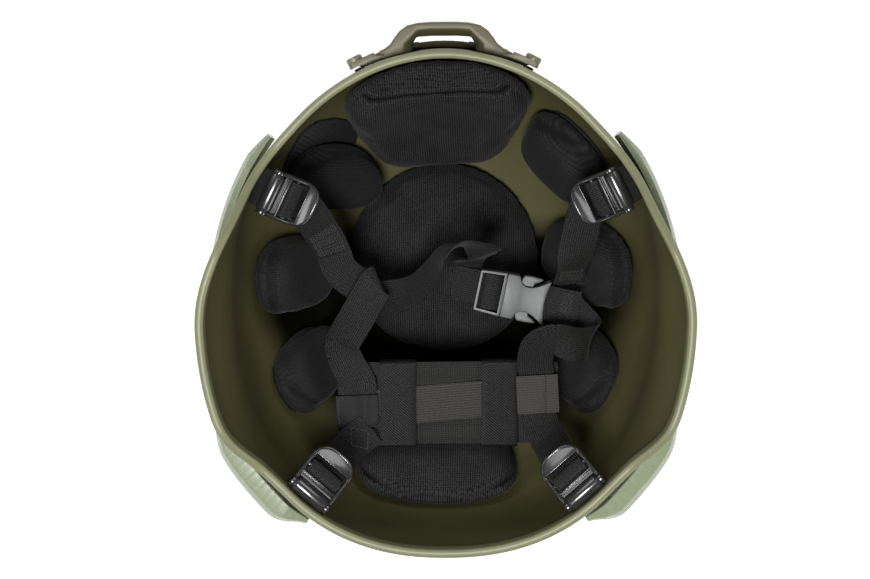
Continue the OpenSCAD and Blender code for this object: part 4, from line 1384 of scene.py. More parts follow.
@dataclass
class Buckle:
    """The side release buckle: socket, plug and the plug's latch arms, X from the plug to the socket."""

    x: float = 32.0
    y: float = -6.4
    h: float = 80.0
    turn: float = -12.0
    half: float = 12.1
    frame_l: float = 14.9
    frame_t: float = 1.25
    frame_h: float = 3.9
    plate_z: Pair = (1.9, 4.3)
    wall_h: float = 2.2
    pad_h: float = 1.85
    pad: tuple[Pair, ...] = (
        (20.3, 12.0), (18.6, 12.6), (14, 12.9), (10, 12.8), (8.7, 12.2), (9, 10.4), (9.9, 9.2), (11.4, 8.4),
        (13.2, 8.2), (15.4, 8.9), (17.8, 10.2))
    notch: tuple[Pair, ...] = (
        (0, 11.5), (0.6, 12.2), (6.3, 12.2), (7.3, 11.4), (7.9, 9.4), (9, 7.9), (11, 7), (13.2, 6.9), (15.6, 7.5),
        (18, 8.6), (20.6, 10.2), (22.8, 11.8), (24.4, 12.3), (23.6, 9), (22.9, 5), (22.6, 0))

    def frame(self) -> Matrix:
        """Gives the buckle's place, X from the plug to the socket."""
        return Matrix.Translation(place((self.x, self.y, self.h))) @ Matrix.Rotation(math.radians(self.turn), 4, "Z")

    def point(self, p: Point) -> Vector:
        """Gives a point of the buckle's own axes in the bowl's axes."""
        c, s = turned(self.turn)
        return Vector((self.x + p[0] * c - p[1] * s, self.y + p[0] * s + p[1] * c, self.h + p[2]))

    def width_dir(self) -> Vector:
        """Direction across the webbing at the buckle."""
        c, s = turned(self.turn)
        return Vector((-s, c, 0))

    def frame_ring(self) -> Piece:
        """Builds the plug's thin frame round the webbing.

        Returns:
            The frame.
        """
        w, length = self.half, self.frame_l
        outline = [(-0.4, -w), (-0.4, w), (-length + 0.7, w - 0.9), (-length, w - 1.5), (-length, -w + 1.5),
                   (-length + 0.7, -w + 0.9)]
        ring = outline_solid("frame_ring", outline[::-1], -self.frame_h, self.frame_h)
        select_only(ring)
        bpy.ops.object.mode_set(mode="EDIT")
        bpy.ops.mesh.select_mode(type="FACE")
        bpy.ops.mesh.select_all(action="DESELECT")
        bpy.ops.object.mode_set(mode="OBJECT")
        for face in ring.data.polygons:
            face.select = abs(face.normal.z) > 0.9
        bpy.ops.object.mode_set(mode="EDIT")
        bpy.ops.mesh.inset(thickness=self.frame_t / 1000, depth=0)
        bpy.ops.mesh.delete(type="FACE")
        bpy.ops.mesh.select_mode(type="EDGE")
        bpy.ops.mesh.select_all(action="DESELECT")
        bpy.ops.mesh.select_non_manifold()
        bpy.ops.mesh.bridge_edge_loops()
        bpy.ops.object.mode_set(mode="OBJECT")
        turn_out(ring)
        round_edges(ring, 0.4, 3, 35)
        return ring

    def box(self, low: Point, high: Point, bevel: float = 0.3) -> Piece:
        """Builds a rounded block between two corners."""
        outline = [(low[0], low[1]), (high[0], low[1]), (high[0], high[1]), (low[0], high[1])]
        part = outline_solid("buckle_block", outline, low[2], high[2])
        round_edges(part, bevel)
        return part

    def plug(self) -> Piece:
        """Builds the plug: frame, webbing bar, tongue and the root of its arms."""
        reach = self.half - 2.2
        return joined("plug_moulding", [
            self.frame_ring(), self.box((-10.2, -self.half + 0.6, -1.2), (-7.8, self.half - 0.6, 1.2), 0.8),
            self.box((-1.2, -1.8, -1.6), (13.4, 1.8, 1.6), 0.6), self.box((-1.2, -reach, -2.0), (3.0, reach, 2.0))])

    def socket(self) -> Piece:
        """Builds the socket: two notched plates with walls between them.

        Returns:
            The socket.
        """
        outline = [(x, -y) for x, y in self.notch] + [(x, y) for x, y in reversed(self.notch[:-1])]
        parts, h = [], self.wall_h
        for low, high in (self.plate_z, (-self.plate_z[1], -self.plate_z[0])):
            plate = outline_solid("socket_plate", outline, low, high)
            round_edges(plate, 0.8, 4, 25)
            parts.append(plate)
        for side in (1, -1):
            for wall in (((0.3, 10.5), (6.6, 10.5), (6.6, 11.9), (0.6, 11.9)),
                         ((17.6, 4.0), (19.5, 4.0), (19.7, 7.0), (17.6, 7.0)),
                         ((20.9, 10.1), (23.3, 10.4), (23.9, 11.9), (22.6, 11.3))):
                ring = [(x, side * y) for x, y in wall]
                parts.append(outline_solid("socket_wall", ring if side > 0 else ring[::-1], -h, h))
        parts.append(self.box((17.6, -4.2, -h), (19.5, 4.2, h)))
        parts.append(self.box((21.4, -10.6, -0.2), (22.6, 10.6, 0.2), 0.1))
        return joined("socket_moulding", parts)

    def build(self) -> None:
        """Builds and dresses the buckle's parts."""
        socket = moved(self.socket(), self.frame())
        dress(socket, BUCKLE_ACETAL, ROOT, ["buckle_socket"])
        plug = moved(self.plug(), self.frame())
        dress(plug, BUCKLE_ACETAL, "plug", ["buckle_plug"])
        for key, side in (("front", 1), ("rear", -1)):
            ring = [(x, side * y) for x, y in self.pad]
            pad = outline_solid("latch_pad", ring if side > 0 else ring[::-1], -self.pad_h, self.pad_h)
            round_edges(pad, 0.6, 3, 25)
            arm = joined("latch_" + key + "_moulding", [merged_copy("latch_arm_" + key, "latch_arm"),
                                                         moved(pad, self.frame())])
            dress(arm, BUCKLE_ACETAL, "arm_" + key, ["latch_arm_" + key])


BUCKLE = Buckle()


# Soft goods


@dataclass
class Pad:
    """A foam pad in ribbed knit, stuck to the wall by a hook patch."""

    node: str
    az: float
    h: float
    turn: float
    width: float
    length: float
    corner: float = 2.5
    taper: float = 0.0
    draw: float = 0.02
    seams: tuple[tuple[float, float, float, float], ...] = ()
    rim_seam: float = 0.98
    thick: float = 21.0
    seat: float = 5.4
    shrink: float = 1.3
    rings: tuple[Pair, ...] = ((0.55, 0.03), (0.93, 0.03), (1.02, 0.2), (1.01, 0.46), (1.03, 0.62), (0.97, 0.83),
                               (0.82, 0.96), (0.48, 1.04))
    crown: float = 1.07
    sides: int = 48

    def axes(self) -> tuple[Vector, Vector, Vector]:
        """Gives the middle of the outline's plane and its two directions.

        Returns:
            The middle, the way across and the way up.
        """
        if self.h == 0:
            return Vector((-1, 7, self.seat + self.thick / 2)), Vector((1, 0, 0)), Vector((0, 1, 0))
        c, s = turned(BOWL.normal_az(self.az))
        up = (BOWL.point(self.az, self.h + 1, 0) - BOWL.point(self.az, self.h - 1, 0)).normalized()
        mid = BOWL.point(self.az, self.h, self.seat + self.thick / 2)
        return mid, Vector((s, -c, 0)), up

    def plane(self, u: float, v: float) -> Vector:
        """Gives a point of the outline's plane."""
        mid, side, up = self.axes()
        c, s = turned(self.turn)
        return mid + (u * c - v * s) * side + (u * s + v * c) * up

    def edge(self, t: float) -> Pair:
        """Gives the outline's point at an angle, moved in a little.

        Args:
            t: angle.

        Returns:
            The point across and along.
        """
        q, (c, s) = 2 / self.corner, turned(t)
        pull = 1 - self.draw * turned(2 * t)[0] ** 2
        v = signed_pow(s, q)
        half_w, half_l = self.width / 2 - self.shrink, self.length / 2 - self.shrink
        return pull * half_w * signed_pow(c, q) * (1 + self.taper * v), pull * half_l * v

    def foam(self) -> Piece:
        """Builds the closed form that the foam starts from.

        Returns:
            The closed form.
        """
        around = [self.edge(360 * j / self.sides) for j in range(self.sides)]
        rows = [[BOWL.on_wall(self.plane(share * u, share * v), self.seat + deep * self.thick) for u, v in around]
                for share, deep in self.rings]
        mid = self.plane(0, 0)
        tips = (BOWL.on_wall(mid, self.seat), BOWL.on_wall(mid, self.seat + self.crown * self.thick))
        return closed_loft(self.node + "_cover", rows, tips=tips)

    def local(self, co: Vector) -> Triple:
        """Gives where a mesh point lies on the pad.

        Args:
            co: a point of the shared frame, in metres.

        Returns:
            Its place across and along the pad, and its distance from the wall.
        """
        p = Vector((co.x * 1000, co.y * 1000 - BOWL_Y, co.z * 1000))
        mid, side, up = self.axes()
        a, b = (p - mid).dot(side), (p - mid).dot(up)
        c, s = turned(self.turn)
        gap = (1 / max(0.05, BOWL.share(p, 0)) - 1) * (p - Vector((0, 0, BOWL.depth))).length
        return a * c + b * s, -a * s + b * c, gap

    def seam_gap(self, u: float, v: float) -> float:
        """Gives the signed distance to the nearest seam.

        Args:
            u: place across.
            v: place along.

        Returns:
            The distance, with its side's sign.
        """
        k = self.corner
        half_w, half_l = self.width / 2, self.length / 2
        ratio = (abs(u / half_w) ** k + abs(v / half_l) ** k) ** (1 / k)
        best = (ratio - self.rim_seam) * (half_w + half_l) / 2
        for u0, v0, u1, v1 in self.seams:
            run = math.hypot(u1 - u0, v1 - v0)
            gap = ((u - u0) * (v1 - v0) - (v - v0) * (u1 - u0)) / run
            if ratio < self.rim_seam and abs(gap) < abs(best):
                best = gap
        return best

    def sew(self, obj: Piece) -> None:
        """Presses the seams and small creases in, and stores what the knit's material reads.

        Args:
            obj: the piece.
        """
        mesh = obj.data
        normals = [v.normal.copy() for v in mesh.vertices]
        seam = mesh.attributes.new("seam", "FLOAT", "POINT")
        along = mesh.attributes.new("along", "FLOAT", "POINT")
        spots = []
        for i, v in enumerate(mesh.vertices):
            u, w, gap = self.local(v.co)
            dist = self.seam_gap(u, w)
            top = soft((gap - 0.45 * self.thick) / 5)
            seam.data[i].value = dist / 1000 if top > 0.5 else 0.02
            along.data[i].value = math.atan2(w, u) * (self.width + self.length) / 4000
            spots.append((u / 1000, w / 1000))
            press = 0.8 * top * math.exp(-(dist / 1.5) ** 2) + 0.5 * top * math.exp(-(dist / 5.0) ** 2)
            crease = 0.4 * math.sin(u / 6.1 + 1.7 * math.sin(w / 9.3 + self.az)) * math.sin(w / 7.7 + self.az)
            v.co -= normals[i] * (press + crease * top * 0.7) / 1000
        map_uv(obj, spots)


PADS = (
    Pad("crown_pad", 96, 0, 0, 116, 116, 2.0, 0.0, 0.0, rim_seam=1.3),
    Pad("brow_pad", 92.2, 54, 0, 110, 92, 3.0, 0.17, 0.03, seams=((-70, 34, 70, 36),)),
    Pad("nape_pad", -93, 61, 0, 92, 66, 3.0, 0.1, 0.03),
    Pad("front_pad_left", 138, 47, 23, 36, 67, 2.2, 0.0, 0.0),
    Pad("front_pad_right", 45.5, 60, -80, 41, 57, 2.5),
    Pad("side_pad_left", 179, 54, 4, 44, 56, 2.5),
    Pad("side_pad_right", 5, 49, -22, 47, 66, 2.5),
    Pad("rear_pad_left", 214.2, 54, 4, 43, 53, 2.5),
    Pad("rear_pad_right", -34.2, 52, -4, 46, 60, 2.5),
)


@dataclass
class PadSet:
    """All the pads: their foam is swollen by a cloth simulation, then their seams are pressed in."""

    voxel: float = 0.003
    pressure: float = 4.0
    cap: float = 0.0022
    frames: int = 20
    broad: float = 80.0

    def swell(self, pads: Sequence[tuple[Pad, Piece]]) -> None:
        """Runs the simulation on all the pads at once and caps how far each point moved.

        Args:
            pads: each pad with its piece.
        """
        starts = {}
        for _, obj in pads:
            starts[obj.name] = [v.co.copy() for v in obj.data.vertices]
            mod = obj.modifiers.new("foam", "CLOTH")
            mod.settings.quality = 6
            mod.settings.mass = 0.3
            mod.settings.bending_stiffness = 0.8
            mod.settings.use_pressure = True
            mod.settings.uniform_pressure_force = self.pressure
            mod.settings.effector_weights.gravity = 0
            mod.point_cache.frame_start, mod.point_cache.frame_end = 1, self.frames
        for number in range(1, self.frames + 1):
            bpy.context.scene.frame_set(number)
        graph = bpy.context.evaluated_depsgraph_get()
        for pad, obj in pads:
            after = [v.co.copy() for v in obj.evaluated_get(graph).data.vertices]
            obj.modifiers.remove(obj.modifiers["foam"])
            for v, old, new in zip(obj.data.vertices, starts[obj.name], after):
                step = new - old
                free = soft((pad.local(old)[2] - 8) / 7)
                v.co = old + step * free * min(1.0, self.cap / max(step.length, 1e-9))
        bpy.context.scene.frame_set(1)

    def build(self) -> None:
        """Builds, swells, sews and dresses the pads, and the patches under them."""
        made = []
        for pad in PADS:
            obj = pad.foam()
            select_only(obj)
            obj.data.remesh_voxel_size = self.voxel
            bpy.ops.object.voxel_remesh()
            made.append((pad, obj))
        self.swell(made)
        for pad, obj in made:
            apply_modifier(obj, "SUBSURF", levels=1, render_levels=1)
            pad.sew(obj)
            smooth(obj)
            dress(obj, PAD_KNIT if pad.width > self.broad else SIDE_KNIT, ROOT, [pad.node])
        patches = merged_copy("hook_patches", "hook_patch_set")
        map_uv(patches, [(math.atan2(v.co.y, v.co.x) * 0.1, v.co.z) for v in patches.data.vertices])
        smooth(patches, 40)
        dress(patches, HOOK_TAPE, ROOT, ["hook_patches"])


class Stitch(Enum):
    """Ways that a strap is sewn down."""

    ZIGZAG = "zigzag"
    DIAMOND = "diamond"


@dataclass
class Ribbon:
    """A woven strap along stations of a point and the direction of its width, in the bowl's axes."""

    name: str
    stations: Sequence[Station]
    width: float = 19.6
    thick: float = 1.4
    steps: int = 10
    cols: int = 12
    ring: bool = False
    ripple: float = 0.25
    thread_r: float = 0.27
    yarns: int = 46
    pts: list[Vector] = field(default_factory=list)
    across: list[Vector] = field(default_factory=list)
    face: list[Vector] = field(default_factory=list)
    arc: list[float] = field(default_factory=list)

    def __post_init__(self) -> None:
        """Smooths the stations into a fine run of frames."""
        where = [Vector(s[0]) for s in self.stations]
        ways = [Vector(s[1]) for s in self.stations]
        self.pts, ways = self.smoothed(where), self.smoothed(ways)
        last = len(self.pts) - 1
        self.arc = [0.0]
        for i, p in enumerate(self.pts):
            ahead = self.pts[(i + 1) % (last + 1)] if self.ring else self.pts[min(last, i + 1)]
            run = (ahead - self.pts[i - 1 if self.ring else max(0, i - 1)]).normalized()
            flat = (ways[i] - ways[i].dot(run) * run).normalized()
            self.across.append(flat)
            self.face.append(run.cross(flat))
            if i:
                self.arc.append(self.arc[-1] + (p - self.pts[i - 1]).length)

    def smoothed(self, items: Sequence[Vector]) -> list[Vector]:
        """Runs a smooth curve through all the items.

        Args:
            items: what the curve runs through.

        Returns:
            The fine run.
        """
        n, out = len(items), []
        pick = (lambda i: items[i % n]) if self.ring else (lambda i: items[min(n - 1, max(0, i))])
        for i in range(n if self.ring else n - 1):
            a, b, c, d = pick(i - 1), pick(i), pick(i + 1), pick(i + 2)
            for k in range(self.steps):
                t = k / self.steps
                out.append(0.5 * (2 * b + (c - a) * t + (2 * a - 5 * b + 4 * c - d) * t * t
                                  + (3 * b - a - 3 * c + d) * t * t * t))
        return out if self.ring else out + [items[-1]]

    @property
    def length(self) -> float:
        """Length along the middle."""
        return self.arc[-1] + ((self.pts[0] - self.pts[-1]).length if self.ring else 0)

    def after(self, s: float) -> int:
        """Gives the number of the first frame beyond a place along the strap."""
        return next((k for k, a in enumerate(self.arc) if a > s), len(self.arc) - 1)

    def at(self, u: float, s: float, lift: float) -> Vector:
        """Gives a point over the strap.

        Args:
            u: place across from the middle.
            s: place along.
            lift: height over the middle layer.

        Returns:
            The point in the bowl's axes.
        """
        i = max(0, min(len(self.arc) - 2, self.after(s) - 1))
        t = (s - self.arc[i]) / max(1e-6, self.arc[i + 1] - self.arc[i])
        p = self.pts[i].lerp(self.pts[i + 1], t)
        return p + self.across[i].lerp(self.across[i + 1], t) * u + self.face[i].lerp(self.face[i + 1], t) * lift

    def mesh(self) -> Piece:
        """Builds the strap as a closed band with softened edges and a UV map in metres.

        Returns:
            The band.
        """
        ring, uv_row = [], []
        for side in (1, -1):
            order = range(self.cols + 1) if side > 0 else range(self.cols, -1, -1)
            for k in order:
                x = k / self.cols * 2 - 1
                ring.append((x * self.width / 2, side * self.thick / 2 * (1 - 0.65 * abs(x) ** 10)))
                uv_row.append(x * self.width / 2000)
        rows = []
        for i, p in enumerate(self.pts):
            lift = 0.0 if self.ring else self.ripple * math.sin(self.arc[i] / 7.3 + len(self.name))
            rows.append([p + self.across[i] * x + self.face[i] * (z + lift * (x / self.width) * 1.2) for x, z in ring])
        n, m = len(ring), len(rows)
        verts = [place(q) for row in rows for q in row]
        faces, coords = [], []
        marks = self.arc + [self.length] if self.ring else self.arc
        for i in range(m if self.ring else m - 1):
            for j in range(n):
                k, i2 = (j + 1) % n, (i + 1) % m
                faces.append((i * n + j, i * n + k, i2 * n + k, i2 * n + j))
                s0, s1 = marks[i] / 1000, marks[i + 1] / 1000
                coords += [(uv_row[j], s0), (uv_row[k], s0), (uv_row[k], s1), (uv_row[j], s1)]
        if not self.ring:
            for base, s in ((0, 0.0), ((m - 1) * n, self.length / 1000)):
                cap = list(range(base, base + n))[::-1 if base == 0 else 1]
                faces.append(tuple(cap))
                coords += [(uv_row[c - base], s) for c in cap]
        obj = new_piece(self.name, verts, faces)
        uv = obj.data.uv_layers.new(name="UVMap")
        for item, c in zip(uv.data, coords):
            item.uv = c
        turn_out(obj)
        smooth(obj, 60)
        return obj

    def thread(self, name: str, lines: Sequence[Sequence[Pair]], side: int) -> Piece:
        """Builds sewing thread over the strap.

        Args:
            name: the piece's name.
            lines: runs of points across and along.
            side: 1 for the strap's upper face as it is laid, -1 for the other.

        Returns:
            The thread as one piece with a UV map.
        """
        verts, faces = [], []
        around = (0, math.pi * 0.4, math.pi * 0.8, math.pi * 1.2, math.pi * 1.6)
        for line in lines:
            path = [self.at(u, s, side * (self.thick / 2 + 0.12)) for u, s in line]
            for i, p in enumerate(path):
                run = (path[min(len(path) - 1, i + 1)] - path[max(0, i - 1)]).normalized()
                up = self.face[self.after(line[i][1])]
                a = (up - up.dot(run) * run).normalized()
                b = run.cross(a)
                base = len(verts)
                verts += [place(p + (a * math.cos(q) * 0.7 + b * math.sin(q)) * self.thread_r) for q in around]
                if i:
                    faces += [(base - 5 + k, base - 5 + (k + 1) % 5, base + (k + 1) % 5, base + k) for k in range(5)]
                if i in (0, len(path) - 1):
                    faces.append(tuple(base + k for k in range(5)))
        obj = self.loose(name, verts, faces)
        smooth(obj)
        return obj

    def loose(self, name: str, verts: Sequence[Point], faces: Sequence[Sequence[int]]) -> Piece:
        """Makes thread or yarn with an empty UV map, its faces outwards."""
        obj = new_piece(name, verts, faces)
        obj.data.uv_layers.new(name="UVMap")
        turn_out(obj)
        return obj

    def fray(self, name: str, at_end: bool) -> Piece:
        """Builds loose yarn ends at one end of the strap.

        Args:
            name: the piece's name.
            at_end: whether it is the last end rather than the first.

        Returns:
            The yarns as one piece.
        """
        verts, faces = [], []
        s, way = (self.length - 0.3, 1) if at_end else (0.3, -1)
        for k in range(self.yarns):
            u = (k + 0.5) / self.yarns * self.width - self.width / 2
            wild = math.sin(k * 12.9898) * 43758.5453 % 1
            reach = 0.7 + 1.9 * wild
            lean = 1.6 * (math.sin(k * 78.233) * 12543.1 % 1 - 0.5)
            lift = (math.sin(k * 3.7) * 951.7 % 1 - 0.5) * self.thick * 0.8
            root, bend = self.at(u, s, lift), self.at(u, s - way * 3, lift)
            run = (root - bend).normalized()
            i = len(self.across) - 1 if at_end else 0
            tip = root + run * reach + self.across[i] * lean + self.face[i] * (wild - 0.5) * 1.4
            side, thin = self.across[i] * 0.11, self.face[i] * 0.11
            base = len(verts)
            verts += [place(q) for q in (root - side, root + side, root + thin, tip)]
            faces += [(base, base + 1, base + 3), (base + 1, base + 2, base + 3), (base + 2, base, base + 3),
                      (base, base + 2, base + 1)]
        return self.loose(name, verts, faces)

    def pattern(self, kind: Stitch, low: float, high: float) -> list[list[Pair]]:
        """Gives the thread's runs for one sewn place.

        Args:
            kind: the way it is sewn.
            low: where it starts along the strap.
            high: where it ends.

        Returns:
            Runs of points across and along.
        """
        half = self.width / 2 - 2.2
        if kind is Stitch.DIAMOND:
            mid = (low + high) / 2
            corners = [(0, low), (half, mid), (0, high), (-half, mid)]
            return [d for a, b in zip(corners, corners[1:] + corners[:1]) for d in self.dashes(a, b)]
        runs = []
        count = int(2 * half / 0.95)
        for row in (low, (low + high) / 2 - 0.8, high - 1.8):
            runs.append([(-half + 2 * half * i / count, row + (1.8 if i % 2 else 0.0)) for i in range(count + 1)])
        return runs

    def seams(self, name: str, at: Sequence[float], half: float) -> Piece:
        """Sews straight seams across the strap.

        Args:
            name: the thread's name.
            at: how far along the strap each seam lies.
            half: half of the seams' length.

        Returns:
            The thread as one piece.
        """
        rows = [d for s in at for d in self.dashes((-half, s), (half, s))]
        return dress(self.thread(name, rows, 1 if self.face[3].z > 0 else -1), THREAD, ROOT, ())

    def dashes(self, a: Pair, b: Pair) -> list[list[Pair]]:
        """Gives a line of stitches from a to b.

        Args:
            a: the line's start.
            b: its end.

        Returns:
            Each stitch's two ends.
        """
        run = math.dist(a, b)
        count = max(2, int(run / 2.3))
        out = []
        for i in range(count):
            ends = [(i + 0.12) / count, (i + 0.88) / count]
            out.append([(a[0] + (b[0] - a[0]) * t, a[1] + (b[1] - a[1]) * t) for t in ends])
        return out


@dataclass
class Strap:
    """A strap with what is sewn on it; one that names a moving body is left unattached."""

    node: str
    stations: list[Station]
    moving: Optional[str] = None
    start: float = 0.0
    end: float = 0.0
    sewn: tuple[tuple[Stitch, float, float], ...] = ()
    frayed: tuple[bool, ...] = ()
    held: str = "hung"

    def build(self) -> None:
        """Builds and dresses the strap, its stitches and its frayed ends."""
        tape = Ribbon(self.node + "_tape", self.stations)
        obj = tape.mesh()
        for number, (kind, low, high) in enumerate(self.sewn):
            low, high = (v if v >= 0 else tape.length + v for v in (low, high))
            side = 1 if tape.face[tape.after((low + high) / 2)].z > 0 else -1
            sewing = tape.thread(f"{self.node}_thread_{number}", tape.pattern(kind, low, high), side)
            dress(sewing, THREAD, ROOT, ())
        for number, at_end in enumerate(self.frayed):
            yarns = tape.fray(f"{self.node}_yarns_{number}", at_end)
            dress(yarns, THREAD, ROOT, ())
        dress(obj, STRAP_WEBBING, None if self.moving else ROOT, [self.node])
        if self.moving:
            start, end = (place(tape.at(0, s, 0)) for s in (self.start, self.end))
            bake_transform(obj)
        tape.length / 1000


def lock_loop(anchor: Anchor) -> list[Station]:
    """Gives the webbing's turn over a lock's middle bar."""
    return [(anchor.lock_pt((0, y, z)), -anchor.along) for y, z in
            ((9.5, -3.6), (9.5, 0.9), (10.6, 2.7), (14.9, 2.8), (16.3, 1), (17.4, -2.6), (24, -5.4))]


def at_bar(points: Sequence[Point]) -> list[Station]:
    """Gives stations in the buckle's own axes, with the width along its bars."""
    return [(BUCKLE.point(p), BUCKLE.width_dir()) for p in points]


STRAPS = (
    Strap("strap_front_left", lock_loop(ANCHORS[0]) + [
        ((-67.5, 32, 96), (0.7, 0.7, 0.1)), ((-63.5, 24, 89), (0.86, 0.45, 0.1)),
        ((-60.5, 16.4, 84.6), (0.98, 0.12, 0.1))],
        "lock_front_left", 38, 20, frayed=(True,),
        sewn=((Stitch.ZIGZAG, -8, -2), (Stitch.ZIGZAG, -14, -8.6), (Stitch.ZIGZAG, -20, -14.6))),
    Strap("strap_front_right", lock_loop(ANCHORS[1]) + [
        ((71.6, 24, 98.6), (0.95, -0.2, 0.1)), ((69, 10, 92), (0.8, 0, -0.5)), ((67, 1, 89), (0.8, 0.05, -0.4))],
        "lock_front_right", 38, 20, sewn=((Stitch.ZIGZAG, -8, -2),), frayed=(True,)),
    Strap("strap_rear_left", lock_loop(ANCHORS[2]) + [
        ((-57.5, -91.5, 105), (-0.7, 0.7, 0)), ((-53.5, -88.4, 95.5), (-0.63, 0.77, 0)),
        ((-48, -84.4, 90.4), (-0.61, 0.79, 0)), ((-41.6, -79.6, 89.4), (-0.61, 0.79, 0))],
        "lock_rear_left", 38, 20, sewn=((Stitch.DIAMOND, -15, -2),), frayed=(True,)),
    Strap("strap_rear_right", lock_loop(ANCHORS[3]) + [
        ((57, -86, 104), (-0.8, -0.5, 0)), ((53, -79, 92.5), (-0.9, -0.3, 0)), ((50.5, -70, 87.2), (-1, -0.1, 0)),
        ((50.5, -58, 86.6), (-1, 0, 0))],
        "lock_rear_right", 38, 20, sewn=((Stitch.ZIGZAG, -14, -2),), frayed=(True,)),
    Strap("strap_side_left", [
        ((-61.3, 17.1, 80.5), (0.7, 0.7, 0.1)), ((-57.9, 8, 79.6), (0.64, 0.75, 0.1)),
        ((-50.2, 1.2, 80.6), (0.46, 0.88, 0.1)), ((-41.6, -1.1, 84), (0.15, 0.98, 0)),
        ((-36.4, 1.7, 88), (-0.35, 0.92, 0)), ((-38.7, 0, 91), (-0.45, 0.88, 0)),
        ((-47, -14.6, 89), (-0.5, 0.85, 0.05)), ((-54.8, -28.1, 86), (-0.6, 0.75, -0.1)),
        ((-57.4, -34.7, 83.8), (-0.85, 0.4, -0.2)), ((-53.7, -45.2, 84.2), (-0.95, -0.1, -0.05)),
        ((-48.1, -55.5, 85), (-1, -0.12, 0)), ((-50, -62, 85.1), (-1, 0, 0)),
        ((-49.5, -68.5, 85.1), (-1, 0, 0))], frayed=(False,), held="folded"),
    Strap("strap_side_right", [
        ((68, -16, 74.4), (0.7, 0.7, 0)), ((77, -25.6, 77.2), (0.7, 0.7, 0)), ((79.4, -31, 84), (0.3, 0.95, 0.1)),
        ((76, -33, 90.4), (0.1, 1, 0.1)), ((69, -32, 94.4), (-0.1, 1, 0.2)), ((59, -28.6, 96.4), (-0.3, 0.8, 0.4)),
        ((51.6, -32, 94.4), (-0.8, 0.5, 0.2)), ((48.9, -40, 90), (-1, 0.1, 0)), ((49.5, -49, 86.4), (-1, 0, 0)),
        ((50.5, -58, 85), (-1, 0, 0)), ((50.5, -68, 85), (-1, 0, 0))],
        frayed=(False,), held="folded"),
    Strap("chin_strap_left", [
        ((-42.1, -9.5, 74), (0.8, -0.5, 0.2)), ((-29.4, -7.9, 79), (0.7, -0.5, 0.5)),
        ((-16.6, -2.5, 84.4), (0.5, -0.45, 0.75)), ((-6.8, 8.4, 90), (0.35, -0.35, 0.85)),
        ((-0.2, 18.6, 95), (0.2, -0.1, 0.95)), ((9.7, 23.5, 97), (0, 0.25, 0.95)),
        ((17.4, 20.8, 95.4), (0.3, 0.5, 0.8)), ((21.4, 17.6, 91), (0.7, 0.45, 0.5)),
        ((19, 15, 83.6), (0.95, 0.25, 0)), ((14.4, 12.6, 76.6), (0.8, 0, -0.5)),
        ((11, 7, 72), (0.98, 0, -0.1)), ((13.2, -0.4, 71.2), (0.72, 0.7, 0)),
        ((18.2, -3.4, 71.6), (0.25, 0.97, 0))] + at_bar([
            (-8.4, 0, -7.2), (-4.2, 0, -4.6), (-2.8, 0, -0.6), (-3.8, 0, 1.8), (-8, 0, 2.7), (-11.6, 0, 1.8),
            (-12.7, 0, -1.6), (-12.8, 0, -4.6), (-15.4, 0, -6), (-20, 0, -6), (-28, 0, -5.6)]),
        "plug", 110, 152, held="folded"),
    Strap("chin_strap_right", at_bar([
        (41, 0, 0.9), (32, 0, 1.2), (25.6, 0, 1.1), (22.4, 0, 1), (21, 0, 0.6), (21, 0, -0.6), (22.4, 0, -1),
        (25.6, 0, -1.1), (32, 0, -1.2), (41, 0, -0.9)]), sewn=((Stitch.ZIGZAG, 3, 9),), frayed=(False, True),
        held="folded"),
)


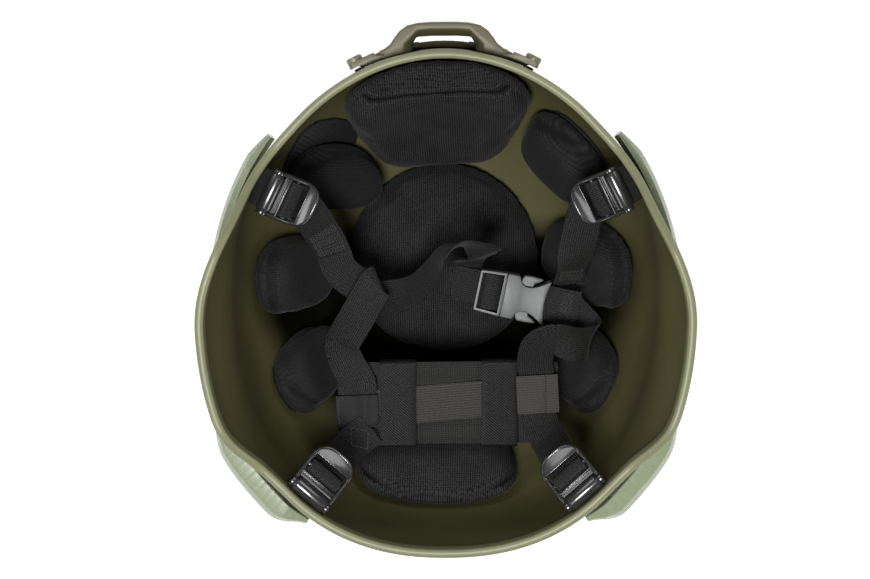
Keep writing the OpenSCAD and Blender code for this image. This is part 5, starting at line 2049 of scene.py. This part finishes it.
@dataclass
class NapeBand:
    """The padded band at the nape, the webbing over it and the two elastic loops round it."""

    x: float = 1.0
    y: float = -67.0
    h: float = 78.0
    width: float = 122.0
    length: float = 46.0
    thick: float = 4.0
    elastic_w: float = 20.0
    elastic_x: Pair = (-27.7, 28.3)
    seams: tuple[float, ...] = (13.2, -13.8)
    cells: tuple[int, int] = (122, 46)
    webbing_l: float = 108.0
    webbing_w: float = 20.6

    def top_h(self, u: float, v: float) -> float:
        """Gives how full the panel is at one place, from 0 to 1.

        Args:
            u: place across.
            v: place along.

        Returns:
            The share of the full height.
        """
        edge = min(self.width / 2 - abs(u), self.length / 2 - abs(v))
        full = soft((edge + 0.5) / 5)
        for s in self.seams:
            full *= 1 - 0.55 * math.exp(-((v - s) / 1.6) ** 2)
        for s in self.elastic_x:
            full *= 1 - 0.25 * soft((12.5 - abs(u - s)) / 3)
        return full * (1 + 0.08 * math.sin(u / 4.7) * math.sin(v / 3.9 + u / 21))

    def panel(self) -> Piece:
        """Builds the padded panel.

        Returns:
            The panel.
        """
        n, m = self.cells
        verts, faces, spots = [], [], []
        for side in (1, -1):
            for j in range(m + 1):
                for i in range(n + 1):
                    u, v = (i / n - 0.5) * self.width, (j / m - 0.5) * self.length
                    k = 1 - 0.018 * (abs(u) / (self.width / 2)) ** 12 * (abs(v) / (self.length / 2)) ** 12
                    z = self.h + self.thick / 2 + side * self.thick / 2 * (0.3 + 0.7 * self.top_h(u, v))
                    verts.append(place((self.x + u * k, self.y + v * k, z)))
                    spots.append((u / 1000, v / 1000))
        step, layer = n + 1, (n + 1) * (m + 1)
        for j in range(m):
            for i in range(n):
                a = j * step + i
                faces += [(a, a + 1, a + step + 1, a + step), (layer + a, layer + a + step, layer + a + step + 1,
                                                              layer + a + 1)]
        rim = (list(range(n)) + [n + j * step for j in range(m)] + [m * step + i for i in range(n, 0, -1)]
               + [j * step for j in range(m, 0, -1)])
        faces += [(b, a, layer + a, layer + b) for a, b in zip(rim, rim[1:] + rim[:1])]
        obj = new_piece("nape_panel", verts, faces)
        map_uv(obj, spots)
        smooth(obj, 65)
        return obj

    def elastic(self, x: float, name: str) -> Piece:
        """Builds one elastic loop round the band.

        Args:
            x: its place along the band.
            name: the piece's name.

        Returns:
            The loop.
        """
        half, low, high = self.length / 2 + 0.9, self.h - 0.9, self.h + self.thick + 2.9
        path = [(-half, (low + high) / 2), (-half + 0.6, high - 0.5), (-half + 3.5, high), (-12, high + 0.1),
                (0, high + 0.15), (12, high + 0.1), (half - 3.5, high), (half - 0.6, high - 0.5),
                (half, (low + high) / 2), (half - 0.6, low + 0.5), (half - 3.5, low), (12, low), (0, low), (-12, low),
                (-half + 3.5, low), (-half + 0.6, low + 0.5)]
        loop = Ribbon(name, [((x, self.y + a, b), (1, 0, 0)) for a, b in path], width=self.elastic_w, thick=1.2,
                      ring=True, cols=16, ripple=0.0)
        obj = loop.mesh()
        dress(obj, ELASTIC, ROOT, [name.replace("_loop", "")])
        loop.length / 1000
        return obj

    def patch(self, name: str, xs: Sequence[float], mid: Point, width: float, finish: Finish,
              seams: Sequence[float]) -> None:
        """Builds a piece sewn over one end of the band, with its upright seams.

        Args:
            name: the piece's name.
            xs: where its stations lie across the bowl.
            mid: its middle's depth and height, and its slope across the bowl.
            width: its width.
            finish: its cloth.
            seams: how far along it its seams lie.
        """
        path = [((x, mid[0] + mid[2] * (x - xs[0]), mid[1] - 0.4 * (i == len(xs) - 3)), (0, 1, 0))
                for i, x in enumerate(xs)]
        tape = Ribbon(name, path, width=width, thick=1.0, ripple=0.3)
        obj = tape.mesh()
        sewing = tape.seams(name + "_thread", seams, width / 2 - 1.2)
        dress(obj, finish, ROOT, ())
        tape.length / 1000

    def build(self) -> None:
        """Builds and dresses the panel, its webbing, threads and elastics."""
        panel = self.panel()
        dress(panel, BAND_CLOTH, ROOT, ["nape_band"])
        z = self.h + self.thick + 1.0
        across = [self.webbing_l * (i / 8 - 0.5) for i in range(9)]
        path = [((x, self.y + 0.9 + 0.08 * x, z + (0.35 if i % 2 else 0)), (0, 1, 0)) for i, x in enumerate(across)]
        tape = Ribbon("nape_webbing_tape", path, width=self.webbing_w, ripple=0.5)
        webbing = tape.mesh()
        sewing = tape.seams("nape_webbing_thread", (40, 42.4), 8.6)
        dress(webbing, MID_WEBBING, ROOT, ["nape_webbing"])
        tape.length / 1000
        self.patch("band_patch", (38.8, 46, 53.6, 54.6, 57, 61.6), (-61.4, 89.4, 0.05), 21.2, PATCH_WEBBING,
                   (14.4, 21.8))
        self.patch("band_flap", (-60.6, -55, -50, -45, -41, -37.6), (-70.2, 88.3, 0.03), 17.5, FLAP_CLOTH, (1.4,))
        for u, name in zip(self.elastic_x, ("elastic_left_loop", "elastic_right_loop")):
            self.elastic(self.x + u, name)


# Stage


@dataclass
class Stage:
    """Floor, lamps, world and the camera over the open bowl."""

    lens: float = 88.05
    distance: float = 1.1
    tilt: float = 9.0
    roll: float = 0.406
    shift: Pair = (-0.01223, 0.0154)
    target: Triple = (0.0, 0.0, 150.0)
    aim: Triple = (0.0, 0.0, 0.08)
    lamps: tuple[tuple[str, Triple, float, float], ...] = (
        ("overhead", (-0.15, -0.15, 1.6), 0.45, 22), ("front left", (-0.83, 0.92, 0.9), 0.7, 4),
        ("front right", (0.83, 0.92, 0.9), 0.7, 4.5), ("rear left", (-1.09, -0.88, 0.52), 0.7, 4.5),
        ("rear right", (1.09, -0.88, 0.52), 0.7, 6))
    glow: float = 0.88
    pale: float = 0.42
    dim: float = 0.14

    def camera(self) -> None:
        """Places the camera."""
        t = math.radians(self.tilt)
        back = Vector((0, math.sin(t), math.cos(t)))
        data = bpy.data.cameras.new("view")
        data.sensor_width, data.lens = 36.0, self.lens
        data.shift_x, data.shift_y = self.shift
        data.clip_end = 50
        cam = linked("view", data)
        turn = Matrix.Rotation(-t, 4, "X") @ Matrix.Rotation(math.radians(-self.roll), 4, "Z")
        cam.matrix_world = Matrix.Translation(place(self.target) + back * self.distance) @ turn
        bpy.context.scene.camera = cam

    def lamp(self, name: str, at: Point, size: float, power: float) -> None:
        """Places one soft lamp that faces the helmet.

        Args:
            name: the lamp's name.
            at: its place in metres.
            size: its width in metres.
            power: its power in watts.
        """
        data = bpy.data.lights.new(name, "AREA")
        data.shape, data.size, data.energy = "DISK", size, power
        obj = linked(name, data)
        obj.location = at
        obj.rotation_euler = (Vector(self.aim) - Vector(at)).to_track_quat("-Z", "Y").to_euler()

    def floor(self) -> None:
        """Lays the pale floor, which shows white and keeps the helmet's shadow."""
        bpy.ops.object.select_all(action="DESELECT")
        bpy.ops.mesh.primitive_plane_add(size=12)
        obj = bpy.context.object
        obj.name = "floor"
        mat = bpy.data.materials.new("pale floor")
        mat.use_nodes = True
        n = Nodes(mat.node_tree)
        shader = mat.node_tree.nodes["Principled BSDF"]
        n.fill(shader, Base_Color=(0.8, 0.8, 0.8), Roughness=0.9)
        path = n.add("LightPath")
        seen = n.math("MAXIMUM", path.outputs["Is Camera Ray"], path.outputs["Is Glossy Ray"])
        seen = n.math("MAXIMUM", seen, path.outputs["Is Transmission Ray"])
        glow = n.add("Emission", None, Color=(1.0, 1.0, 1.0), Strength=self.glow)
        pale = n.add("BsdfDiffuse", None, Color=(self.pale, self.pale, self.pale))
        lit = n.add("AddShader")
        pick = n.add("MixShader", None, Fac=seen)
        out = next(x for x in mat.node_tree.nodes if x.type == "OUTPUT_MATERIAL")
        for socket, part in ((lit.inputs[0], glow), (lit.inputs[1], pale), (pick.inputs[1], shader),
                             (pick.inputs[2], lit), (out.inputs["Surface"], pick)):
            n.feed(socket, part.outputs[0])
        obj.data.materials.append(mat)

    def build(self) -> None:
        """Builds the whole stage."""
        self.camera()
        self.floor()
        for name, at, size, power in self.lamps:
            self.lamp(name, at, size, power)
        world = bpy.data.worlds.new("studio")
        world.use_nodes = True
        n = Nodes(world.node_tree)
        back = world.node_tree.nodes["Background"]
        path = n.add("LightPath")
        seen = n.math("MAXIMUM", path.outputs["Is Camera Ray"], path.outputs["Is Transmission Ray"])
        n.fill(back, Color=(1.0, 1.0, 1.0), Strength=n.scaled(seen, 1 - self.dim, self.dim))
        bpy.context.scene.world = world
        bpy.context.scene.view_settings.view_transform = "Standard"


def main() -> None:
    """Builds the helmet part by part."""
    logging.basicConfig(level=logging.INFO, format="%(message)s")
    Stage().build()
    Shell().build()
    Bracket().build()
    Rails().build()
    LadderLock().build()
    BUCKLE.build()
    PadSet().build()
    for strap in STRAPS:
        strap.build()
    NapeBand().build()


if __name__ == "__main__":
    main()
